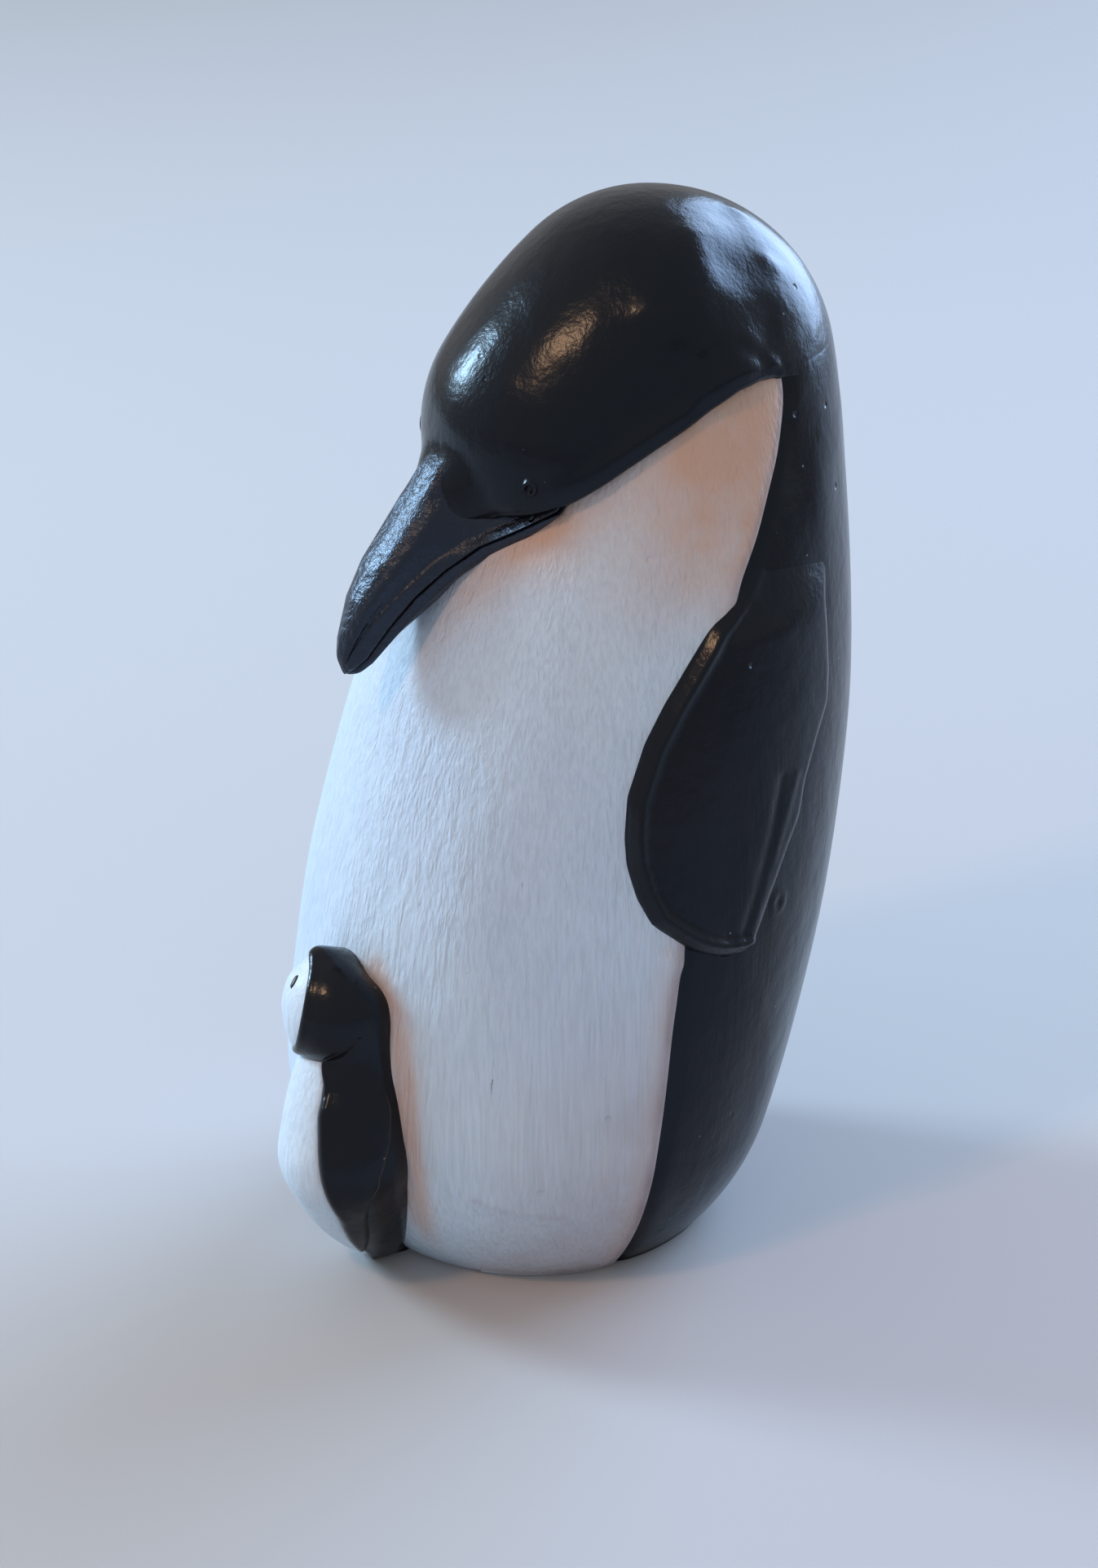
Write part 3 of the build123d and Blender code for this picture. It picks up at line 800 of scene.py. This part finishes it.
def buildBillHalf(name, node, rows, end):
    # rows: for each share round the section, how far out and how high it is at each place
    bm = bmesh.new()
    bmesh.ops.create_uvsphere(bm, u_segments=bill["around"], v_segments=bill["along"], radius=1.0)
    ball = readPoints(bm)
    low = bill["places"][0]
    places = low + (end - low) * (1 + ball[:, 2]) / 2
    share = np.arctan2(ball[:, 1], ball[:, 0]) / math.pi
    side = np.where(np.abs(share) > 0.5, -1.0, 1.0)
    fromKeel = np.clip(np.where(side > 0, share, np.sign(share) - share) + 0.5, 0, 1)
    stops = np.array([row[0] for row in rows])
    outs = np.stack([row[1](places) for row in rows], -1)
    highs = np.stack([row[2](places) for row in rows], -1)
    out, rise = np.zeros(len(places)), np.zeros(len(places))
    index = np.arange(len(places))
    # five neighbouring spots are averaged, so that the edges of the section are soft
    for nudge, weight in ((-0.03, 1), (-0.015, 2), (0.0, 3), (0.015, 2), (0.03, 1)):
        at = np.abs(fromKeel + nudge)
        at = np.where(at > 1, 2 - at, at)
        cell = np.clip(np.searchsorted(stops, at) - 1, 0, len(stops) - 2)
        part = (at - stops[cell]) / (stops[cell + 1] - stops[cell])
        beyond = (fromKeel + nudge < 0) | (fromKeel + nudge > 1)
        mirrored = np.where(beyond, -1.0, 1.0)
        out += mirrored * weight / 9 * (outs[index, cell] * (1 - part) + outs[index, cell + 1] * part)
        rise += weight / 9 * (highs[index, cell] * (1 - part) + highs[index, cell + 1] * part)
    # both ends close like the end of an egg
    endShare = np.clip((places - bill["roundTip"]) / (end - bill["roundTip"]), 0, 1)
    backShare = np.clip((low + 0.8 - places) / 0.8, 0, 1)
    shrink = np.sqrt(1 - endShare ** 2) * np.sqrt(1 - backShare ** 2)
    middle = alongBill("gape")(places)
    out, rise = out * shrink, middle + (rise - middle) * shrink
    root, tip = np.array(bill["root"]), np.array(bill["tip"])
    forward = (tip - root) / np.linalg.norm(tip - root)
    lift = np.cross(np.array([1.0, 0, 0]), forward)
    lift = lift if lift[2] > 0 else -lift
    points = root + places[:, None] * forward + rise[:, None] * lift
    points[:, 0] += side * out
    writePoints(bm, points)
    return finishPiece(bm, name, [node], blackBill, 70.0)


def onMiddle(places):
    return places * 0


buildBillHalf("upperBill", "upper_mandible", [
    (0.00, onMiddle, alongBill("gape", -0.05)),
    (0.26, alongBill("halfWidth", 0, 0.90), alongBill("gape", -0.05)),
    (0.34, alongBill("halfWidth"), alongBill("gape", 0.30)),
    (0.52, alongBill("bandSide"), alongBill("bandTop")),
    (0.60, alongBill("bandSide", -bill["groove"]), alongBill("bandTop", 0.12)),
    (0.70, alongBill("ridgeSide", 0.15), alongBill("ridgeTop", -0.35)),
    (0.76, alongBill("ridgeSide"), alongBill("ridgeTop")),
    (0.88, alongBill("ridgeSide", 0, 0.62), alongBill("crest", -0.12)),
    (1.00, onMiddle, alongBill("crest", 0.06)),
], bill["upperEnd"])
buildBillHalf("lowerBill", "lower_mandible", [
    (0.00, onMiddle, alongBill("keel")),
    (0.30, alongBill("halfWidth", 0, 0.62), alongBill("keel", 0.55, 0.86)),
    (0.52, alongBill("halfWidth", 0, 0.97), alongBill("lowEdge", -0.12)),
    (0.62, alongBill("halfWidth"), alongBill("lowEdge", 0.25)),
    (0.74, alongBill("halfWidth", -0.10), alongBill("gape", -0.08)),
    (0.82, alongBill("halfWidth", -0.5), alongBill("gape")),
    (1.00, onMiddle, alongBill("gape")),
], bill["lowerEnd"])

# eyes: small pressed rings
adultEye = dict(place=(8.1, -7.0, 66.5), radius=0.98, squeeze=0.82, ring=0.34, pit=0.30, lean=30.0)


def pressedRing(name, node, material, sizes, field, mirrored):
    bm = bmesh.new()
    bmesh.ops.create_uvsphere(bm, u_segments=56, v_segments=40, radius=1.0)
    ball = readPoints(bm)
    fall = np.arccos(np.clip(ball[:, 2], -1, 1)) / math.pi
    turn = np.arctan2(ball[:, 1], ball[:, 0])
    # over the top: pit, ring and outer slope, then back under the skin
    ring, bottom = sizes["ring"], sizes["ring"] - sizes["pit"]
    falls = [0, 0.12, 0.30, 0.45, 0.60, 0.75, 1]
    outward = np.interp(fall, falls, np.array([0, 0.22, 0.45, 0.68, 1.0, 1.0, 0]) * sizes["radius"])
    rise = np.interp(fall, falls, [bottom, bottom, ring * 0.9, ring, -0.12, -0.5, -0.5])
    place = np.array(sizes["place"], float)[None]
    normal = fieldNormals(field, place)
    place = place - normal * field(place)[:, None]
    up = upright - normal * (normal @ upright)[:, None]
    up /= np.linalg.norm(up)
    side = np.cross(up, normal)
    lean = math.radians(sizes["lean"])
    first, second = up * math.cos(lean) + side * math.sin(lean), side * math.cos(lean) - up * math.sin(lean)
    points = place + first * (outward * np.cos(turn))[:, None]
    points = points + second * (outward * np.sin(turn) * sizes["squeeze"])[:, None] + normal * rise[:, None]
    if mirrored:
        points[:, 0] = -points[:, 0]
    writePoints(bm, points)
    writeMask(bm, "centre", 1 - smoothStep(0.28, 0.36, fall))
    return finishPiece(bm, name, [node], material, 80.0)


pressedRing("leftEyeRing", "left_eye", blackSatin, adultEye, blackField, False)
pressedRing("rightEyeRing", "right_eye", blackSatin, adultEye, blackField, True)

# flippers: flat lobes pressed onto the flanks
flipper = dict(
    lead=[
        (21.0, 4.9, 29.1), (21.1, 3.6, 29.2), (21.2, 2.2, 29.6), (21.1, 0.0, 30.6), (21.4, -1.7, 31.8),
        (21.1, -3.7, 33.4), (20.5, -4.8, 35.8), (19.9, -5.4, 38.5), (19.5, -5.4, 40.7), (19.0, -4.9, 43.9),
        (18.7, -3.2, 47.9), (18.7, -1.4, 50.8), (18.6, 0.8, 53.7), (18.3, 3.0, 56.5), (17.1, 6.1, 58.8),
        (16.7, 7.6, 60.4), (16.3, 8.6, 62.1),
    ],
    trail=[
        (21.0, 4.9, 29.1), (20.8, 6.1, 29.5), (20.6, 7.0, 30.7), (20.2, 8.1, 33.0), (19.5, 10.2, 36.8),
        (18.9, 11.6, 38.9), (18.5, 12.2, 41.5), (17.7, 13.8, 44.5), (16.6, 15.4, 47.0), (16.2, 15.7, 49.6),
        (15.7, 15.7, 55.3), (14.8, 16.4, 58.0), (14.0, 17.2, 62.1),
    ],
    across=150, upward=230, plateau=1.20, behind=0.45, bead=0.35, beadAt=1.25, beadWidth=0.45, edgeRound=1.35,
    sink=0.45, topFade=(62.0, 54.0), furthest=22.3,
    # pressed lines: places, width, depth
    lines=[
        ([(20.9, 3.4, 31.3), (21.3, 1.6, 33.0), (21.2, 0.2, 36.5), (20.8, -0.4, 41.0)], 0.7, 0.14),
        ([(20.9, 4.6, 31.3), (20.9, 6.0, 34.5), (20.3, 7.5, 38.5), (19.6, 8.8, 43.0)], 0.55, 0.22),
        ([(20.8, 5.7, 31.8), (20.6, 7.1, 35.0), (19.9, 8.8, 39.0), (19.1, 10.4, 42.8)], 0.5, -0.14),
        ([(21.3, 3.0, 35.5), (21.2, 3.4, 42.0), (20.6, 4.6, 48.0)], 1.2, 0.10),
        ([(18.0, 14.4, 47.8), (19.1, 12.2, 46.2), (19.9, 9.8, 45.7), (20.6, 7.4, 45.4)], 0.35, 0.24),
        ([(18.3, 14.0, 46.8), (19.3, 12.0, 45.2), (20.1, 9.6, 44.7)], 0.5, -0.15),
        ([(18.5, 12.8, 50.0), (19.4, 10.2, 48.4), (19.9, 8.4, 47.6)], 0.8, -0.12),
        ([(21.0, 2.6, 42.7), (21.2, 4.8, 40.6)], 0.22, 0.08),
    ],
)


def lobe(name, node, sizes, field, spine, mirrored=False):
    bm = bmesh.new()
    bmesh.ops.create_grid(bm, x_segments=sizes["across"], y_segments=sizes["upward"], size=0.5)
    across, up = gridShares(bm)
    lead, trail = np.array(sizes["lead"], float), np.array(sizes["trail"], float)
    bottom, top = max(lead[0, 2], trail[0, 2]), min(lead[-1, 2], trail[-1, 2])
    heights = bottom + (top - bottom) * (0.35 * up ** 2 + 0.65 * up)
    samples = np.linspace(bottom, top, 241)

    # the edges as angles around the spine, evened out, then as lines on the skin
    def edgeAngles(line):
        middle = spine(line[:, 2])
        turns = np.unwrap(np.arctan2(line[:, 0] - middle[:, 0], middle[:, 1] - line[:, 1]))
        return evenOut(np.interp(samples, line[:, 2], turns), 5)

    first, second = edgeAngles(lead), edgeAngles(trail)
    start, end = np.interp(heights, samples, first), np.interp(heights, samples, second)
    points = skinPoints(field, start + (end - start) * bunchEnds(across, 0.75), heights, spine)
    normals = fieldNormals(field, points)
    toLead, toTrail = [
        lineDistance(points, skinPoints(field, turns, samples, spine)[::4]) for turns in (first, second)
    ]
    inner = toLead / np.maximum(toLead + toTrail, 1e-6)
    thick = sizes["plateau"] * (1 - inner) + sizes["behind"] * inner
    thick = thick + sizes["bead"] * bell(toLead - sizes["beadAt"], sizes["beadWidth"])
    for line, width, depth in sizes["lines"]:
        thick = thick - depth * bell(lineDistance(points, line), width)
    fade = smoothStep(*sizes["topFade"], heights)
    rounded = quarterRound(np.minimum(toLead, toTrail) / sizes["edgeRound"])
    offset = -sizes["sink"] + (thick * fade + sizes["sink"] * (0.15 + 0.85 * fade)) * rounded
    points = points + normals * offset[:, None]
    points[:, 0] = np.minimum(points[:, 0], sizes["furthest"])
    if mirrored:
        points[:, 0] = -points[:, 0]
    writePoints(bm, points)
    closeBehind(bm, lambda point: spine(np.array([point[2]]))[0], 0.5)
    return finishPiece(bm, name, [node], blackSatin, 60.0)


lobe("leftFlipper", "left_flipper", flipper, bodyField, spinePoints)
lobe("rightFlipper", "right_flipper", flipper, bodyField, spinePoints, mirrored=True)
print("stage: adult ready")

# the chick's form
chick = dict(
    foot=(2.9, -18.9, 2.6), footRadius=2.8, belly=(5.7, -22.9, 12.0), bellyRadius=5.35,
    neck=(4.6, -21.8, 18.2), neckRadius=4.4, flank=24.0, head=(3.7, -22.1, 23.8), headRadius=4.7,
    front=-41.0, behind=139.0, base=(1.7, -16.6), baseTop=4.5, baseRadius=2.4,
)


def chickField(points):
    balls = [(chick[name], chick[name + "Radius"]) for name in ("foot", "belly", "neck")]
    lower, upper = [
        eggField(points, low, high, lowRadius, highRadius, chick["flank"])
        for (low, lowRadius), (high, highRadius) in zip(balls[:-1], balls[1:])
    ]
    return softUnion(lower, upper, 0.5)


def chickHeadField(points):
    return np.linalg.norm(points - np.array(chick["head"]), axis=-1) - chick["headRadius"]


def chickBlackField(points):
    # the hood runs into the back at the nape, and the base is pressed against the belly
    back = towards(chick["behind"], 0.0)[:2]
    behind = (points[..., :2] - np.array(chick["neck"][:2])) @ back
    fromAxis = np.linalg.norm(points[..., :2] - np.array(chick["base"]), axis=-1)
    base = np.hypot(fromAxis, np.maximum(points[..., 2] - chick["baseTop"], 0)) - chick["baseRadius"]
    trunk = softUnion(chickField(points), base, 1.2)
    return softUnion(trunk, chickHeadField(points), 0.35 + 2.6 * smoothStep(-1.0, 3.5, behind))


def chickSpine(heights):
    balls = np.array([chick["foot"], chick["belly"], chick["neck"], chick["head"]])
    line = np.stack([np.interp(heights, balls[:, 2], balls[:, axis]) for axis in range(2)], -1)
    return np.concatenate([line, np.asarray(heights, float)[:, None]], -1)


# the bib's edge: degrees from the chick's front, by height
bibHeights = [0.0, 2.6, 3.4, 4.4, 6.0, 8.2, 10.9, 13.8, 15.8, 17.1, 18.6, 19.6, 20.3, 21.2, 22.2, 24.0]
bibTurns = [91, 91, 88, 86, 88, 89, 86, 81, 78, 76, 78, 78, 72, 74, 100, 125]


def bibAngle(heights):
    turns = [np.interp(heights + shift, bibHeights, bibTurns) for shift in (-0.5, -0.25, 0.0, 0.25, 0.5)]
    return np.radians(sum(turns) / 5)


chickTrunk = dict(
    around=200, upward=200, top=21.6, inset=0.10, capShare=0.06, lumps=[((1.5, -28.0, 8.0), 2.0, 0.05)], paintedShade=0.7,
)


def buildChickTrunk():
    sizes = chickTrunk
    bm = bmesh.new()
    bmesh.ops.create_uvsphere(bm, u_segments=sizes["around"], v_segments=sizes["upward"], radius=1.0)
    ball = readPoints(bm)
    fall = np.arccos(np.clip(ball[:, 2], -1, 1)) / math.pi
    turn = np.arctan2(ball[:, 0], -ball[:, 1])
    capShare = sizes["capShare"]
    heights = sizes["top"] * (1 - np.clip((fall - capShare) / (1 - 2 * capShare), 0, 1))
    points = skinPoints(chickField, turn, heights, chickSpine)
    offset = lumpHeight(points, sizes["lumps"]) - sizes["inset"]
    points = points + fieldNormals(chickField, points) * offset[:, None]
    points[:, 2] = np.maximum(points[:, 2], 0.0)
    # both ends close flat over the spine
    cap = np.clip(1 - np.minimum(fall, 1 - fall) / capShare, 0, 1)
    middle = chickSpine(heights)
    points = points + (middle - points) * cap[:, None]
    writePoints(bm, points)
    angles = np.arctan2(points[:, 0] - middle[:, 0], middle[:, 1] - points[:, 1]) - math.radians(chick["front"])
    angles = np.abs((angles + math.pi) % (2 * math.pi) - math.pi)
    toBib = (angles - bibAngle(heights)) * 5.0
    writeMask(bm, "warmShadeAndPeach", np.zeros(len(points)))
    # painted darker shade along the bib's edge, where the black sheet's rim meets the white
    writeMask(bm, "paintedShade", sizes["paintedShade"] * bell(toBib, 0.25))
    return finishPiece(bm, "chickBib", ["chick_belly"], whiteChick)


chickShell = dict(
    across=170, upward=170, bottom=0.02, height=23.4, sink=0.25, raised=0.14, edgeRound=0.35, edge=0.10,
)


def buildChickBack():
    sizes = chickShell
    bm = bmesh.new()
    bmesh.ops.create_grid(bm, x_segments=sizes["across"], y_segments=sizes["upward"], size=0.5)
    across, up = gridShares(bm)
    heights = sizes["bottom"] + sizes["height"] * up
    # each row runs from one edge of the bib over the back to the other
    start = math.radians(chick["front"]) + bibAngle(heights)
    sweep = 2 * math.pi - 2 * bibAngle(heights)
    eased = bunchEnds(across, 0.8)
    points = skinPoints(chickBlackField, start + sweep * eased, heights, chickSpine)
    reach = np.minimum(eased, 1 - eased) * sweep * 5.0 / sizes["edgeRound"]
    offset = (sizes["raised"] + sizes["sink"]) * quarterRound(reach) - sizes["sink"]
    offset = offset + sizes["edge"] * bell(reach - 1.2, 0.9)
    points = points + fieldNormals(chickBlackField, points) * offset[:, None]
    points[:, 2] = np.maximum(points[:, 2], 0.0)
    writePoints(bm, points)
    closeBehind(bm, lambda point: chickSpine(np.array([point[2]]))[0], 0.3)
    return finishPiece(bm, "chickBack", ["chick_body"], blackSatin)


chickHood = dict(
    around=200, rings=150, maskInset=0.10, maskFront=3.0, maskTurns=(-30.0, -60.0), maskRise=11.0,
    raised=0.12, sink=0.25, edge=0.10, edgeRound=0.30, wallFrom=0.84, drape=-0.80, drapeReach=2.6,
    # brow, cheeks and the slope at the back, which the mask and the hood share
    lumps=[
        ((5.2, -19.4, 27.3), 2.4, -1.1), ((6.5, -24.5, 22.5), 1.8, 0.12), ((2.6, -23.2, 28.3), 1.2, 0.50),
        ((1.3, -25.4, 26.6), 1.0, 0.16), ((2.8, -26.0, 20.9), 1.5, 0.22), ((0.4, -24.6, 21.4), 1.5, 0.22),
        ((2.0, -26.6, 23.2), 0.8, -0.10),
    ],
)


def pressHead(points, rays):
    for lump in chickHood["lumps"]:
        points = points + rays * lumpHeight(points, [lump])[:, None]
    return points


def buildChickMask():
    sizes = chickHood
    centre, radius = np.array(chick["head"]), chick["headRadius"]
    bm = bmesh.new()
    bmesh.ops.create_uvsphere(
        bm, u_segments=sizes["around"], v_segments=sizes["rings"], radius=radius - sizes["maskInset"]
    )
    ball = readPoints(bm)
    writePoints(bm, pressHead(ball + centre, ball / radius))
    for name in ("warmShadeAndPeach", "paintedShade"):
        writeMask(bm, name, np.zeros(len(ball)))
    return finishPiece(bm, "chickMask", ["chick_face"], whiteChick)


def buildChickHood():
    sizes = chickHood
    centre, radius = np.array(chick["head"]), chick["headRadius"]
    bm = bmesh.new()
    bmesh.ops.create_uvsphere(bm, u_segments=sizes["around"], v_segments=sizes["rings"], radius=1.0)
    ball = readPoints(bm)
    fall = np.arccos(np.clip(ball[:, 2], -1, 1)) / math.pi
    turn = np.arctan2(ball[:, 1], ball[:, 0])
    facing = aroundSpine(np.radians(np.array(sizes["maskTurns"])))
    back = -(facing[0] + facing[1])
    back /= np.linalg.norm(back)
    side = np.cross(upright, back)
    maskRise = math.radians(sizes["maskRise"])
    facing = facing * math.cos(maskRise) + upright * math.sin(maskRise)

    def onBall(turns, falls):
        level = side * np.cos(turns)[:, None] + upright * np.sin(turns)[:, None]
        return back * np.cos(falls)[:, None] + level * np.sin(falls)[:, None]

    # the hood ends where a spot on the ball faces forward enough to be mask
    turns = np.linspace(-math.pi, math.pi, 361)

    def isHood(falls):
        spots = onBall(turns, falls) * radius
        return np.maximum(spots @ facing[0], spots @ facing[1]) <= sizes["maskFront"]

    edge = np.interp(turn, turns, walkOut(isHood, np.full(361, 0.4), np.full(361, math.pi), 26))
    down = np.clip(fall / sizes["wallFrom"], 0, 1)
    inside = np.clip((fall - sizes["wallFrom"]) / (1 - sizes["wallFrom"]), 0, 1)
    falls = edge * (1 - (1 - down) ** 1.15)
    rays = onBall(turn, falls)
    toEdge = (edge - falls) * radius / sizes["edgeRound"]
    lift = radius - sizes["sink"] + (sizes["raised"] + sizes["sink"]) * quarterRound(toEdge)
    lift = lift + sizes["edge"] * bell(toEdge - 1.6, 1.2)
    # at the nape it drapes over the back
    skin = castOut(chickBlackField, np.broadcast_to(centre, rays.shape), rays, 9.0)
    filled = np.minimum(np.linalg.norm(skin - centre, axis=1), radius + sizes["drapeReach"])
    low = smoothStep(sizes["drape"] - 0.10, sizes["drape"] + 0.02, rays[:, 2])
    over = low * smoothStep(0.0, 0.45, rays @ towards(chick["behind"], 0.0))
    lift = np.maximum(lift, (filled + sizes["raised"] + 0.05) * over)
    points = pressHead(centre + rays * lift[:, None], rays)
    points = points + (centre + back * 0.5 - points) * (inside ** 1.2)[:, None]
    writePoints(bm, points)
    return finishPiece(bm, "chickHood", ["chick_head"], blackSatin, 60.0)


# the chick's flipper: the angle of its rear edge, by height
flipperTurns = [92, 100, 107, 113, 119, 133, 144, 146, 142, 134]
flipperHeights = [2.9, 3.5, 5.2, 8.3, 9.9, 11.5, 14.6, 17.0, 18.9, 20.4]


def chickEdge(turns, heights):
    turns, heights = np.radians(chick["front"]) + np.asarray(turns, float), np.asarray(heights, float)
    return skinPoints(chickField, turns, heights, chickSpine)


chickFlipper = dict(
    lead=chickEdge(bibAngle(np.array(flipperHeights)) - 0.02, flipperHeights),
    trail=chickEdge(np.radians(flipperTurns), flipperHeights),
    across=90, upward=130, plateau=0.62, behind=0.50, bead=0.12, beadAt=0.6, beadWidth=0.45, edgeRound=0.9,
    sink=0.25, topFade=(20.4, 17.0), furthest=22.3, lines=[([(8.6, -23.6, 18.6), (9.6, -22.2, 17.2)], 0.7, 0.10)],
)
chickEye = dict(radius=0.70, squeeze=0.44, ring=0.10, pit=0.06, inset=0.10, rise=38.0)


def buildChickEye(name, node, turn, lean):
    place = np.array(chick["head"]) + towards(turn, chickEye["rise"]) * chick["headRadius"]
    sizes = dict(chickEye, place=place, lean=lean)
    return pressedRing(
        name, node, greyEye, sizes, lambda points: chickHeadField(points) + sizes["inset"], False
    )


buildChickTrunk()
buildChickBack()
buildChickMask()
buildChickHood()
lobe("chickLeftFlipper", "chick_left_flipper", chickFlipper, chickField, chickSpine)
buildChickEye("chickLeftEyeRing", "chick_left_eye", -12.0, -16.0)
buildChickEye("chickRightEyeRing", "chick_right_eye", -78.0, 16.0)
for node, material in (("chick_beak", blackSatin), ("body_core", bareClay)):
    shape = bpy.data.objects[node]
    shape.data.materials.clear()
    shape.data.materials.append(material)
print("stage: chick ready")

# stage, light and camera
stageLooks = dict(floor=(0.50, 0.50, 0.51), floorRough=0.9, floorReach=3.0, sky=(0.96, 0.97, 1.0), ambient=0.47)
aimHeight = 0.045


def buildStage():
    bm = bmesh.new()
    bmesh.ops.create_grid(bm, x_segments=1, y_segments=1, size=stageLooks["floorReach"])
    mesh = bpy.data.meshes.new("paleFloor")
    bm.to_mesh(mesh)
    bm.free()
    floor = bpy.data.objects.new("paleFloor", mesh)
    bpy.context.scene.collection.objects.link(floor)
    material, tree, shader = startMaterial("paleFloor")
    shader.inputs["Base Color"].default_value = (*stageLooks["floor"], 1)
    shader.inputs["Roughness"].default_value = stageLooks["floorRough"]
    mesh.materials.append(material)
    world = bpy.data.worlds.new("studio")
    bpy.context.scene.world = world
    world.use_nodes = True
    sky = world.node_tree.nodes["Background"]
    sky.inputs["Color"].default_value = (*stageLooks["sky"], 1)
    sky.inputs["Strength"].default_value = stageLooks["ambient"]


# a cool window in front, a large cool box behind for the sheen on the nape, and a small warm lamp above
softBoxes = [
    dict(
        name="windowLight", turn=-52, rise=23, away=0.60, size=(0.12, 0.20),
        power=3.0, colour=(0.60, 0.83, 1.0), spread=180,
    ),
    dict(
        name="backLight", turn=-163, rise=20, away=0.60, size=(0.55, 0.60),
        power=2.4, colour=(0.48, 0.68, 1.0), spread=90,
    ),
    dict(
        name="roomLamp", turn=12, rise=50, away=0.80, size=(0.09, 0.07),
        power=1.2, colour=(1.0, 0.50, 0.24), spread=180,
    ),
]


def addSoftBox(name, turn, rise, away, size, power, colour, spread):
    data = bpy.data.lights.new(name, "AREA")
    data.shape, data.size, data.size_y = "RECTANGLE", size[0], size[1]
    data.spread, data.energy, data.color = math.radians(spread), power, colour
    lamp = bpy.data.objects.new(name, data)
    bpy.context.scene.collection.objects.link(lamp)
    back = Vector(towards(turn, rise))
    lamp.location = Vector((0, 0, aimHeight)) + back * away
    lamp.rotation_euler = back.to_track_quat("Z", "Y").to_euler()


# millimetres and degrees; the lens is given as the photograph's focal length and height, both in its pixels
photoView = dict(
    target=(-2.3, 0.6, 35.6), turn=60.0, rise=25.0, away=350.0, focal=5250.0, height=1924.0, sensor=36.0,
)


def buildCamera():
    data = bpy.data.cameras.new("photoView")
    data.sensor_width, data.sensor_fit = photoView["sensor"], "AUTO"
    data.lens = photoView["focal"] * photoView["sensor"] / photoView["height"]
    data.clip_start, data.clip_end = 0.01, 20.0
    camera = bpy.data.objects.new("photoView", data)
    bpy.context.scene.collection.objects.link(camera)
    back = Vector(towards(photoView["turn"], photoView["rise"]))
    camera.location = (Vector(photoView["target"]) + back * photoView["away"]) * mm
    camera.rotation_euler = back.to_track_quat("Z", "Y").to_euler()
    bpy.context.scene.camera = camera


buildStage()
for softBox in softBoxes:
    addSoftBox(**softBox)
buildCamera()
bpy.context.scene.view_settings.view_transform = "Standard"
print("stage: floor, light and camera ready")
